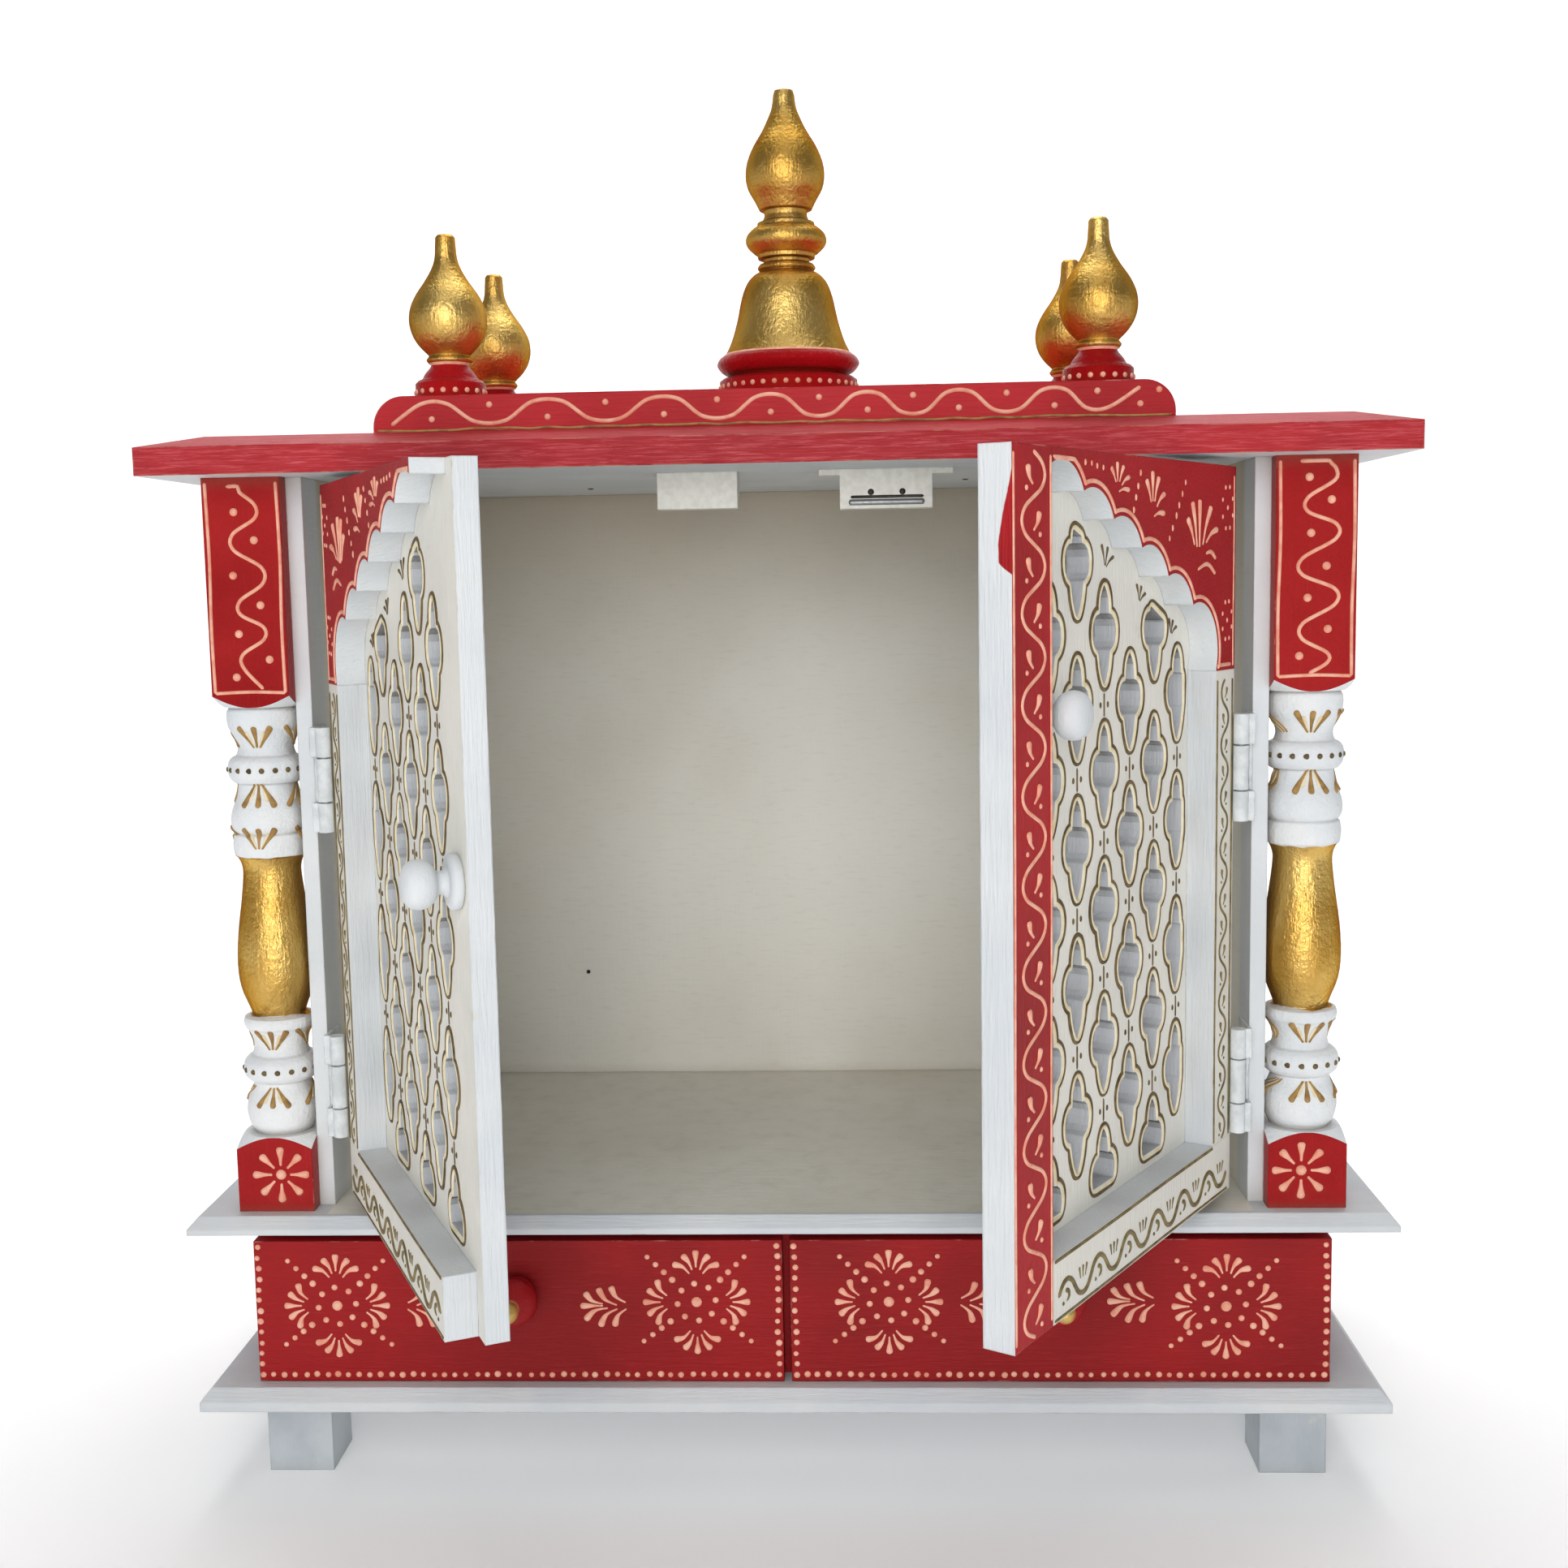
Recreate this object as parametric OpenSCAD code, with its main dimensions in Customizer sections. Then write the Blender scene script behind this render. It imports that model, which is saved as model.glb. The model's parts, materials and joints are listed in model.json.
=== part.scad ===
// Home shrine cabinet with two lattice doors, two drawers, turned columns and five finials.
// Lengths are in millimetres. X runs to the right, Y to the back and Z up.
// The origin is on the floor, midway between the four feet.

/* [Cabinet] */
// Width of the cabinet, which is the width of the altar board
cabinet_w = 612; // [590:1:640]
// Depth of the cabinet, which is the depth of the altar board
cabinet_d = 290; // [284:1:310]
// Clear height between the altar board and the roof board
cabin_h = 374; // [340:1:420]

/* [Feet] */
// Side of a square foot
foot_w = 34; // [26:1:44]
// Height of a foot
foot_h = 46; // [30:1:60]
// Distance from the side edge of the base board to a foot
foot_inset_x = 25; // [10:1:45]
// Distance from the front or back edge of the base board to a foot
foot_inset_y = 29; // [10:1:45]

/* [Boards] */
// Distance by which an end of the base board stays inside the end of the altar board
base_in = 4.5; // [0:0.5:12]
// Distance by which the front of the base board passes the altar board
base_out = 7; // [0:0.5:16]
// Thickness of the base board
base_t = 11; // [9:0.5:18]
// Width of the bevel along the top edge of the base board
base_bevel_w = 5; // [2:0.5:9]
// Height of the bevel along the top edge of the base board
base_bevel_h = 6; // [2:0.5:8]
// Thickness of the altar board
altar_t = 8.5; // [7:0.5:16]
// Width of the bevel along the top edge of the altar board
altar_bevel_w = 5; // [2:0.5:9]
// Height of the bevel along the top edge of the altar board
altar_bevel_h = 5.5; // [2:0.5:6.5]
// Distance by which an end of the roof board stays inside the end of the altar board
roof_in = 1; // [0:0.5:10]
// Distance by which the front of the roof board passes the altar board
roof_out = 14; // [8:0.5:30]
// Thickness of the roof board
roof_t = 20; // [14:0.5:28]
// Width of the wide bevel on the roof board
roof_bevel_w = 26; // [10:1:34]
// Height of the wide bevel on the roof board
roof_bevel_h = 6.5; // [3:0.5:10]
// Distance by which the boards reach past the back wall
board_reach = 7; // [0:0.5:16]

/* [Walls] */
// Distance from an end of the altar board to the inner face of a side wall
wall_side = 71; // [61:1:91]
// Thickness of a side wall
wall_t = 8; // [6:0.5:14]
// Distance from the front of the altar board to the front edge of a side wall
wall_set = 22; // [18:0.5:30]
// Thickness of the back wall
back_wall_t = 10; // [6:0.5:16]

/* [Columns] */
// Side of the square stock of a column
column_w = 39; // [32:0.5:44]
// Distance from the front of the altar board to the front of a column
column_set = 12; // [7:0.5:18]
// Height of the lower square block of a column, up to its shoulders
column_foot_h = 33; // [20:1:45]
// Height of the upper square block of a column, down to its shoulders
column_head_h = 108; // [80:1:130]
// Height of the rounded shoulder between block and turning
column_pommel_h = 6; // [2:0.5:8]

/* [Drawers] */
// Distance from an end of the altar board to the drawer case
case_in = 32.5; // [24:0.5:46]
// Height of the drawer case
case_h = 80; // [64:1:100]
// Thickness of a side of the drawer case
case_side_t = 12; // [8:0.5:18]
// Thickness of the back of the drawer case
case_back_t = 8; // [5:0.5:14]
// Thickness of the wall between the drawers
case_divider_t = 10; // [6:0.5:16]
// Distance from the front of the altar board to the face of a drawer
drawer_set = 5; // [2:0.5:12]
// Thickness of a drawer front
drawer_front_t = 10; // [8:0.5:16]
// Gap between the two drawer fronts
drawer_split = 4; // [3:0.5:8]
// Gap over a drawer front
drawer_top_gap = 5; // [3:0.5:8]
// Thickness of the sides and back of a drawer tray
tray_t = 8; // [5:0.5:12]
// Height of a drawer tray
tray_h = 58; // [40:1:62]
// Thickness of a drawer bottom
tray_bottom_t = 5; // [3:0.5:8]
// Gap between a drawer tray and the back of the case
tray_back_gap = 8; // [6:1:60]
// Gap beside a drawer tray
tray_gap = 5; // [3:0.5:10]
// Radius of a drawer knob
drawer_knob_r = 12.5; // [9:0.5:18]
// Length of a drawer knob with its tip
drawer_knob_l = 33; // [20:0.5:40]
// Height of a drawer knob over the middle of its front
drawer_knob_up = 10; // [0:0.5:16]

/* [Doors] */
// Opening angle of the left door as it is drawn
left_open = 64; // [0:1:110]
// Opening angle of the right door as it is drawn
right_open = 58; // [0:1:110]
// Gap between a door and the side wall
leaf_gap = 5; // [4:0.5:8]
// Gap under the doors
door_low_gap = 8; // [5:0.5:12]
// Gap over the doors
door_high_gap = 4.5; // [3:0.5:10]
// Distance from the middle to the free edge of the left panel
meet_x = 11.5; // [8:0.5:20]
// Gap between the free edge of the left panel and the meeting strip
meet_gap = 5; // [3:0.5:8]
// Thickness of the raised frame on a door
frame_t = 14.5; // [10:0.5:20]
// Thickness of a lattice panel
panel_t = 10.5; // [8:0.5:16]
// Width of the hinge stile
stile_w = 24; // [18:0.5:32]
// Height of the bottom rail
rail_h = 28; // [20:0.5:40]
// Bare margin along the free edge of the left panel
margin_w = 10.5; // [6:0.5:18]
// Width of the meeting strip on the right door
strip_w = 34.5; // [24:0.5:40]
// Distance by which the right panel stays behind the edge of the strip
strip_lap = 20; // [6:0.5:24]
// Height of the arch spandrel at the hinge
spandrel_h = 98; // [80:1:120]
// Distance from the top of the door to the lowest cusp of the arch
arch_drop = 80; // [60:1:95]
// Thickness left over the top of the arch
arch_top = 6.5; // [5:0.5:10]
// Number of foils in half of the arch
foil_count = 6; // [4:1:8]

/* [Lattice] */
// Distance between neighbouring columns of holes
jali_pitch_x = 27.7; // [26:0.1:36]
// Distance between the holes of one column
jali_pitch_z = 61.3; // [56:0.1:76]
// Distance from the stile to the middle of the first column of holes
jali_first_x = 13.4; // [10:0.1:24]
// Distance from the rail to the middle of the lowest whole hole
jali_first_z = 41.5; // [32:0.5:60]
// Width of a lattice hole
hole_w = 24; // [14:0.5:24.5]
// Height of a lattice hole
hole_h = 44.5; // [30:0.5:48]
// Least width of the rim around the lattice
jali_rim = 7; // [4:0.5:12]
// Least distance from the arch to the middle of a hole
hole_drop = 12; // [10:0.5:24]

/* [Hinges and knobs] */
// Height of a hinge
hinge_h = 53; // [40:1:70]
// Height of the middle of the lower hinge over the foot of the door
hinge_low = 57; // [40:1:90]
// Height of the middle of the upper hinge over the foot of the door
hinge_high = 215; // [170:1:300]
// Radius of a hinge knuckle
knuckle_r = 3.75; // [3:0.25:4]
// Radius of a hinge pin
pin_r = 1.5; // [1:0.1:2]
// Distance from the inner face of a side wall to the hinge pin
hinge_in = 6.7; // [6.2:0.1:9]
// Distance from the front of the altar board to the hinge pin
hinge_set = 16; // [12:0.5:17]
// Thickness of a hinge leaf
hinge_t = 1.5; // [1:0.1:1.7]
// Depth of a hinge leaf on the wood
hinge_d = 18; // [12:0.5:22]
// Radius of the ball of a door knob
door_knob_r = 10.3; // [7:0.1:11]
// Length of a door knob on the bare panel
door_knob_l = 24; // [20:0.5:36]
// Inset of a door knob from the free edge or from the meeting strip
knob_set = 14.7; // [12:0.1:20]
// Height of the left knob over the foot of the door
left_knob_z = 191.5; // [120:0.5:280]
// Height of the right knob over the foot of the door
right_knob_z = 254; // [120:0.5:280]

/* [Catches] */
// Width of the left catch block
left_catch_w = 41; // [30:1:55]
// Height of the left catch block
left_catch_h = 18.5; // [12:0.5:24]
// Distance from the middle to the middle of the left catch
left_catch_x = 40; // [30:1:120]
// Width of the body of the right catch
right_catch_w = 47; // [36:1:55]
// Height of the body of the right catch
right_catch_h = 20; // [12:0.5:24]
// Width of the screw plate of the right catch
catch_plate_w = 68; // [58:1:80]
// Thickness of the screw plate of the right catch
catch_plate_t = 3; // [2:0.5:5]
// Distance from the middle to the middle of the right catch
right_catch_x = 56; // [40:1:120]
// Depth of a catch
catch_d = 16; // [10:0.5:24]
// Gap between a closed door and a catch
catch_gap = 5; // [3:0.5:8]

/* [Roof group] */
// Width of the plinth under the finials
plinth_w = 390; // [370:1:440]
// Depth of the plinth
plinth_d = 160; // [130:1:190]
// Height of the plinth
plinth_h = 17.5; // [12:0.5:26]
// Radius of the upper corners of the plinth
plinth_r = 15; // [4:0.5:17]
// Distance from the front of the roof board to the plinth
plinth_set = 27; // [26:1:60]
// Height of a small finial
finial_h = 79.5; // [60:0.5:100]
// Radius of the belly of a small finial
finial_r = 19.2; // [14:0.2:24]
// Distance from the end of the plinth to the middle of a small finial
finial_inset_x = 34.5; // [26:0.5:60]
// Distance from the front or back of the plinth to the middle of a small finial
finial_inset_y = 20; // [19:0.5:26]
// Height of the central finial
central_h = 159; // [120:1:190]
// Radius of the base of the central finial
central_r = 37; // [28:0.5:42]
// Distance of the central finial to the right of the middle
central_shift = 6; // [0:0.5:12]

/* [Hidden] */
// Part to draw
// Names of the parts
// Facets of round forms
$fn = 40;
// Steps between two points of a smooth run
curve_steps = 3;
// Overrun of cuts
over = 1;
// Gap under a drawer tray
run_gap = 0.3;
// Gap behind a closed drawer front
close_gap = 1;
// Gap between knuckles, and between a knuckle and the door face
knuckle_gap = 0.75;
// Radial clearance of a hinge pin
pin_clear = 0.05;
// Share of the hinge height taken by each end knuckle
knuckle_share = 0.28;

// Widths and depths that follow from the cabinet
base_w = cabinet_w - 2 * base_in;
base_d = cabinet_d + base_out;
roof_w = cabinet_w - 2 * roof_in;
roof_d = cabinet_d + roof_out;
case_w = cabinet_w - 2 * case_in;
wall_in = cabinet_w / 2 - wall_side;
// Heights of the main levels
case_z = foot_h + base_t;
altar_z = case_z + case_h;
floor_z = altar_z + altar_t;
roof_z = floor_z + cabin_h;
plinth_z = roof_z + roof_t;
finial_z = plinth_z + plinth_h;
// Places of the main planes from front to back
rear_y = base_d / 2;
altar_y = rear_y - cabinet_d;
roof_y = rear_y - roof_d;
back_y = rear_y - board_reach;
wall_back_y = back_y - back_wall_t;
wall_y = altar_y + wall_set;
drawer_y = altar_y + drawer_set;
tray_y = drawer_y + drawer_front_t;
case_y = tray_y + close_gap;
plinth_y = roof_y + plinth_set;
// Outer face of the side walls and middle of the columns
wall_out = wall_in + wall_t;
column_x = wall_out + column_w / 2;
column_y = altar_y + column_set + column_w / 2;
// Drawer sizes
drawer_l = (case_w - drawer_split) / 2;
drawer_h = case_h - drawer_top_gap - run_gap;
drawer_x = (case_w + drawer_split) / 4;
tray_in_x = case_divider_t / 2 + tray_gap;
tray_out_x = case_w / 2 - case_side_t - tray_gap;
tray_d = back_y - case_back_t - tray_back_gap - tray_y;
// Hinge pin, and door planes measured from it
hinge_x = wall_in - hinge_in;
hinge_y = altar_y + hinge_set;
leaf_u = leaf_gap - hinge_in;
face_v = knuckle_r + knuckle_gap;
panel_v = face_v + frame_t;
// Door heights and widths
door_z = floor_z + door_low_gap;
door_h = cabin_h - door_low_gap - door_high_gap;
left_free_u = hinge_x - meet_x;
strip_out_u = hinge_x + meet_x - meet_gap;
strip_in_u = strip_out_u - strip_w;
left_frame_u = left_free_u - margin_w;
right_panel_u = strip_out_u - strip_lap;
stile_u = leaf_u + stile_w;

// Turning of a column in smooth runs, as shares of the turned height and of half the stock
turning_shares = [
    [[0, 0.74], [0.02, 0.88], [0.05, 0.95], [0.08, 0.9], [0.105, 0.78], [0.12, 0.74]],
    [[0.124, 0.84], [0.135, 0.95], [0.152, 0.98], [0.169, 0.95], [0.18, 0.84]],
    [[0.184, 0.74], [0.205, 0.69], [0.228, 0.73], [0.246, 0.84]],
    [[0.25, 0.89], [0.262, 0.93], [0.274, 0.89]],
    [[0.28, 0.68], [0.3, 0.76], [0.345, 0.94], [0.4, 1], [0.47, 0.95], [0.55, 0.82], [0.61, 0.745],
        [0.635, 0.77], [0.652, 0.86]],
    [[0.656, 0.92], [0.68, 0.955], [0.704, 0.92]],
    [[0.708, 0.86], [0.72, 0.95], [0.74, 0.98], [0.765, 0.92], [0.79, 0.8], [0.822, 0.74]],
    [[0.826, 0.86], [0.838, 0.96], [0.856, 0.99], [0.874, 0.96], [0.884, 0.86]],
    [[0.888, 0.76], [0.906, 0.71], [0.928, 0.78], [0.948, 0.9]],
    [[0.954, 0.93], [0.972, 0.96], [0.99, 0.94], [1, 0.86]]];
// Small finial in smooth runs, as shares of its height and of its belly radius
finial_shares = [
    [[0, 0.9], [0.09, 0.9]],
    [[0.11, 0.82], [0.12, 0.72], [0.15, 0.65], [0.185, 0.53], [0.21, 0.46]],
    [[0.216, 0.53], [0.237, 0.59], [0.258, 0.53]],
    [[0.265, 0.52], [0.33, 0.78], [0.4, 0.94], [0.48, 1], [0.56, 0.95], [0.64, 0.79], [0.72, 0.56],
        [0.8, 0.37], [0.86, 0.29], [0.93, 0.265], [0.985, 0.25]],
    [[1, 0.2]]];
// Central finial in smooth runs, as shares of its height and of its base radius
central_shares = [
    [[0, 0.98], [0.07, 0.98]],
    [[0.079, 0.93], [0.083, 0.82]],
    [[0.09, 0.86], [0.1, 0.94], [0.122, 1.01], [0.142, 0.98], [0.152, 0.92]],
    [[0.157, 0.89], [0.2, 0.8], [0.27, 0.71], [0.34, 0.645], [0.385, 0.57], [0.41, 0.48], [0.42, 0.41]],
    [[0.424, 0.37], [0.435, 0.41], [0.447, 0.38]],
    [[0.452, 0.32], [0.462, 0.33]],
    [[0.466, 0.4], [0.478, 0.41]],
    [[0.483, 0.45], [0.503, 0.54], [0.523, 0.57], [0.545, 0.54], [0.564, 0.45]],
    [[0.568, 0.41], [0.58, 0.4]],
    [[0.586, 0.33], [0.603, 0.3], [0.618, 0.31]],
    [[0.622, 0.37], [0.65, 0.43], [0.69, 0.525], [0.73, 0.556], [0.775, 0.53], [0.825, 0.44],
        [0.87, 0.32], [0.91, 0.235], [0.945, 0.175], [0.985, 0.15]],
    [[1, 0.13]]];
// Door knob in smooth runs, as shares of its length and of its ball radius
knob_shares = [
    [[0, 1.06], [0.04, 1.13], [0.14, 1.13], [0.19, 1.02], [0.215, 0.85]],
    [[0.225, 0.62], [0.29, 0.48], [0.36, 0.48], [0.4, 0.54]],
    [[0.42, 0.6], [0.48, 0.8], [0.58, 0.95], [0.7, 1], [0.82, 0.95], [0.91, 0.8], [0.965, 0.57],
        [0.99, 0.32], [1, 0]]];
// Drawer knob in smooth runs, as shares of its length and of its radius
drawer_knob_shares = [
    [[0, 0.7], [0.05, 0.74], [0.09, 0.66]],
    [[0.11, 0.52], [0.15, 0.56], [0.2, 0.8], [0.28, 0.96], [0.36, 1], [0.44, 0.96], [0.53, 0.8],
        [0.6, 0.58], [0.64, 0.44]],
    [[0.66, 0.34], [0.71, 0.38], [0.8, 0.42], [0.88, 0.38], [0.95, 0.26], [0.985, 0.14], [1, 0]]];
// Radius of the core that runs through a column into its blocks, as a share of its width
core_share = 0.2;
// Right half of a lattice hole, as shares of its width and height
hole_shares = [[0, 0.5], [0.1, 0.435], [0.16, 0.37], [0.185, 0.29], [0.2, 0.215], [0.33, 0.2],
    [0.44, 0.155], [0.495, 0.085], [0.5, 0.01], [0.465, -0.07], [0.38, -0.12], [0.26, -0.15],
    [0.225, -0.22], [0.19, -0.31], [0.11, -0.41], [0, -0.5]];
// Rise of the arch over its chord and bulge of a foil, as shares of the drop and of a foil
arch_rise_share = 0.2;
foil_share = 0.2;

// Point of a smooth curve from b to c, with the points before and after them
function between(a, b, c, d, t) =
    b + (c - a) * t / 2 + (a - 2.5 * b + 2 * c - d / 2) * t * t + (1.5 * (b - c) + (d - a) / 2) * t * t * t;
// Points of the smooth curve through one run
function curve(run) = [for (i = [0:len(run) - 1], k = [0:i < len(run) - 1 ? curve_steps - 1 : 0])
    between(run[max(i - 1, 0)], run[i], run[min(i + 1, len(run) - 1)], run[min(i + 2, len(run) - 1)],
        k / curve_steps)];

// Revolved outline on Z from runs of shares of a height and a radius
module turned(shares, h, r) {
    rotate_extrude()
    polygon(concat([[0, 0]], [for (run = shares, s = curve(run)) [s[1] * r, s[0] * h]], [[0, h]]));
}

// Board with a bevel along its four upper edges, its back at y = back
module bevelled_board(w, d, t, bevel_w, bevel_h, back) {
    hull() {
        translate([-w / 2, back - d, 0])
        cube([w, d, t - bevel_h]);
        translate([-w / 2 + bevel_w, back - d + bevel_w, 0])
        cube([w - 2 * bevel_w, d - 2 * bevel_w, t]);
    }
}

// Two copies mirrored left and right
module both() {
    children();
    mirror([1, 0, 0])
    children();
}

// Square feet along the front or the back
module feet_row(y) {
    both()
    translate([base_w / 2 - foot_inset_x - foot_w, y, 0])
    cube([foot_w, foot_w, foot_h]);
}

module front_feet() {
    color("white")
    feet_row(rear_y - base_d + foot_inset_y);
}

module back_feet() {
    color("white")
    feet_row(rear_y - foot_inset_y - foot_w);
}

module base_board() {
    color("white")
    translate([0, 0, foot_h])
    bevelled_board(base_w, base_d, base_t, base_bevel_w, base_bevel_h, rear_y);
}

module altar_board() {
    color("white")
    translate([0, 0, altar_z])
    bevelled_board(cabinet_w, cabinet_d, altar_t, altar_bevel_w, altar_bevel_h, rear_y);
}

module roof_board() {
    color("firebrick")
    translate([0, 0, roof_z])
    bevelled_board(roof_w, roof_d, roof_t, roof_bevel_w, roof_bevel_h, rear_y);
}

module drawer_case_sides() {
    color("firebrick")
    both()
    translate([case_w / 2 - case_side_t, case_y, case_z])
    cube([case_side_t, back_y - case_y, case_h]);
}

module drawer_case_back() {
    color("firebrick")
    translate([case_side_t - case_w / 2, back_y - case_back_t, case_z])
    cube([case_w - 2 * case_side_t, case_back_t, case_h]);
}

module drawer_divider() {
    color("firebrick")
    translate([-case_divider_t / 2, case_y, case_z])
    cube([case_divider_t, back_y - case_back_t - case_y, case_h]);
}

module side_wall() {
    translate([wall_in, wall_y, floor_z])
    cube([wall_t, wall_back_y - wall_y, cabin_h]);
}

module left_wall() {
    color("white")
    mirror([1, 0, 0])
    side_wall();
}

module right_wall() {
    color("white")
    side_wall();
}

module back_wall() {
    color("white")
    translate([-wall_out, wall_back_y, floor_z])
    cube([2 * wall_out, back_wall_t, cabin_h]);
}

// Square block of a column with its inner end turned to a round shoulder
module column_block(h) {
    intersection() {
        translate([-column_w / 2, -column_w / 2, 0])
        cube([column_w, column_w, h]);
        rotate_extrude()
        polygon([[0, 0], [column_w, 0], [column_w, h - 2 * column_pommel_h],
            [column_w / sqrt(2), h - column_pommel_h], [column_w / 2, h], [0, h]]);
    }
}

// Turned column with square blocks at its foot and head
module column() {
    low = column_foot_h + column_pommel_h;
    high = cabin_h - column_head_h - column_pommel_h;
    union() {
        column_block(low);
        translate([0, 0, low])
        turned(turning_shares, high - low, column_w / 2);
        translate([0, 0, low - column_pommel_h])
        cylinder(high - low + 2 * column_pommel_h, column_w * core_share, column_w * core_share);
        translate([0, 0, cabin_h])
        mirror([0, 0, 1])
        column_block(column_head_h + column_pommel_h);
    }
}

module left_column() {
    color("ivory")
    translate([-column_x, column_y, floor_z])
    column();
}

module right_column() {
    color("ivory")
    translate([column_x, column_y, floor_z])
    column();
}

module roof_plinth() {
    color("firebrick")
    translate([0, plinth_y + plinth_d, plinth_z])
    rotate([90, 0, 0])
    linear_extrude(plinth_d)
    intersection() {
        translate([-plinth_w / 2, 0])
        square([plinth_w, plinth_h]);
        union() {
            translate([-plinth_w / 2, 0])
            square([plinth_w, plinth_h - plinth_r]);
            translate([plinth_r - plinth_w / 2, 0])
            square([plinth_w - 2 * plinth_r, plinth_h]);
            for (side = [-1, 1])
                translate([side * (plinth_w / 2 - plinth_r), plinth_h - plinth_r])
                circle(plinth_r);
        }
    }
}

module central_finial() {
    color("goldenrod")
    translate([central_shift, plinth_y + plinth_d / 2, finial_z])
    turned(central_shares, central_h, central_r);
}

// Two small finials in a row
module finial_row(y) {
    for (side = [-1, 1])
        translate([side * (plinth_w / 2 - finial_inset_x), y, finial_z])
        turned(finial_shares, finial_h, finial_r);
}

module front_finials() {
    color("goldenrod")
    finial_row(plinth_y + finial_inset_y);
}

module back_finials() {
    color("goldenrod")
    finial_row(plinth_y + plinth_d - finial_inset_y);
}

// Front of the catches, behind the closed doors
catch_y = hinge_y + panel_v + panel_t + catch_gap;

module left_catch() {
    color("white")
    translate([-left_catch_x - left_catch_w / 2, catch_y, roof_z - left_catch_h])
    cube([left_catch_w, catch_d, left_catch_h]);
}

module right_catch() {
    color("white")
    union() {
        translate([right_catch_x - right_catch_w / 2, catch_y, roof_z - right_catch_h])
        cube([right_catch_w, catch_d, right_catch_h]);
        translate([right_catch_x - catch_plate_w / 2, catch_y, roof_z - catch_plate_t])
        cube([catch_plate_w, catch_d, catch_plate_t]);
    }
}

// Frame of the left door: origin on its pin, X along the leaf, Y through it, at its angle
module left_leaf() {
    translate([-hinge_x, hinge_y, door_z])
    rotate([0, 0, -left_open])
    children();
}

// Frame of the right door, mirrored
module right_leaf() {
    translate([hinge_x, hinge_y, door_z])
    mirror([1, 0, 0])
    rotate([0, 0, -right_open])
    children();
}

// Upright slab of a door from an outline in X and Z
module slab(v, t) {
    translate([0, v + t, 0])
    rotate([90, 0, 0])
    linear_extrude(t)
    children();
}

// Height of the arch line at a place between the stile and the end of the spandrel
function arch_z(t) = door_h - arch_drop + (arch_drop - arch_top) * (t + arch_rise_share * t * (1 - t));
function cusp(i, end_u) = [stile_u + (end_u - stile_u) * i / foil_count, arch_z(i / foil_count)];

// Outline of a spandrel up to end_u, cut by the foils of the arch
module spandrel_outline(end_u) {
    difference() {
        translate([leaf_u, door_h - spandrel_h])
        square([end_u - leaf_u, spandrel_h]);
        polygon(concat([[stile_u, door_h - spandrel_h - over]],
            [for (i = [0:foil_count]) cusp(i, end_u)],
            [[end_u + over, cusp(foil_count, end_u)[1]],
            [end_u + over, door_h - spandrel_h - over]]));
        for (i = [0:foil_count - 1]) {
            a = cusp(i, end_u);
            b = cusp(i + 1, end_u);
            chord = norm(b - a);
            rise = foil_share * chord;
            r = (chord * chord / 4 + rise * rise) / (2 * rise);
            way = [a[1] - b[1], b[0] - a[0]] / chord;
            centre = (a + b) / 2 - way * (r - rise);
            translate(centre)
            circle(r);
        }
    }
}

// Outline of one lattice hole about its middle
module hole_outline() {
    count = len(hole_shares);
    right = [for (s = hole_shares) [s[0] * hole_w, s[1] * hole_h]];
    left = [for (i = [count - 2:-1:1]) [-hole_shares[i][0] * hole_w, hole_shares[i][1] * hole_h]];
    polygon(concat(right, left));
}

// Field of the lattice inside its rim, up to the arch that ends at end_u
module lattice_field(end_u) {
    from = stile_u + jali_rim;
    to = end_u - jali_rim;
    steps = [0:foil_count];
    polygon(concat([[to, rail_h + jali_rim], [from, rail_h + jali_rim]],
        [for (i = steps) let(u = from + (to - from) * i / foil_count)
            [u, arch_z((u - stile_u) / (end_u - stile_u)) - jali_rim]]));
}

// Lattice outline between the stile and free_u, with holes up to the arch that ends at end_u
module lattice_outline(free_u, end_u) {
    first_u = stile_u + jali_first_x;
    columns = floor((end_u - jali_rim - first_u) / jali_pitch_x);
    rows = ceil(door_h / jali_pitch_z);
    difference() {
        translate([leaf_u, 0])
        square([free_u - leaf_u, door_h]);
        intersection() {
            lattice_field(end_u);
            for (i = [0:columns], k = [0:rows]) {
                u = first_u + i * jali_pitch_x;
                z = rail_h + jali_first_z + (k - (i % 2) / 2) * jali_pitch_z;
                if (z < arch_z((u - stile_u) / (end_u - stile_u)) - hole_drop)
                    translate([u, z])
                    hole_outline();
            }
        }
    }
}

module left_door_panel() {
    color("white")
    left_leaf()
    slab(panel_v, panel_t)
    lattice_outline(left_free_u, left_frame_u);
}

module right_door_panel() {
    color("white")
    right_leaf()
    slab(panel_v, panel_t)
    lattice_outline(right_panel_u, strip_in_u);
}

module left_door_spandrel() {
    color("firebrick")
    left_leaf()
    slab(face_v, frame_t)
    spandrel_outline(left_frame_u);
}

module right_door_spandrel() {
    color("firebrick")
    right_leaf()
    slab(face_v, frame_t)
    spandrel_outline(strip_in_u);
}

// Hinge stile between the rail and the spandrel
module stile() {
    translate([leaf_u, face_v, rail_h])
    cube([stile_w, frame_t, door_h - spandrel_h - rail_h]);
}

module left_door_stile() {
    color("white")
    left_leaf()
    stile();
}

module right_door_stile() {
    color("white")
    right_leaf()
    stile();
}

module rail(end_u) {
    translate([leaf_u, face_v, 0])
    cube([end_u - leaf_u, frame_t, rail_h]);
}

module left_door_rail() {
    color("white")
    left_leaf()
    rail(left_frame_u);
}

module right_door_rail() {
    color("white")
    right_leaf()
    rail(strip_in_u);
}

module right_door_strip() {
    color("firebrick")
    right_leaf()
    translate([strip_in_u, face_v, 0])
    cube([strip_w, frame_t, door_h]);
}

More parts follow.
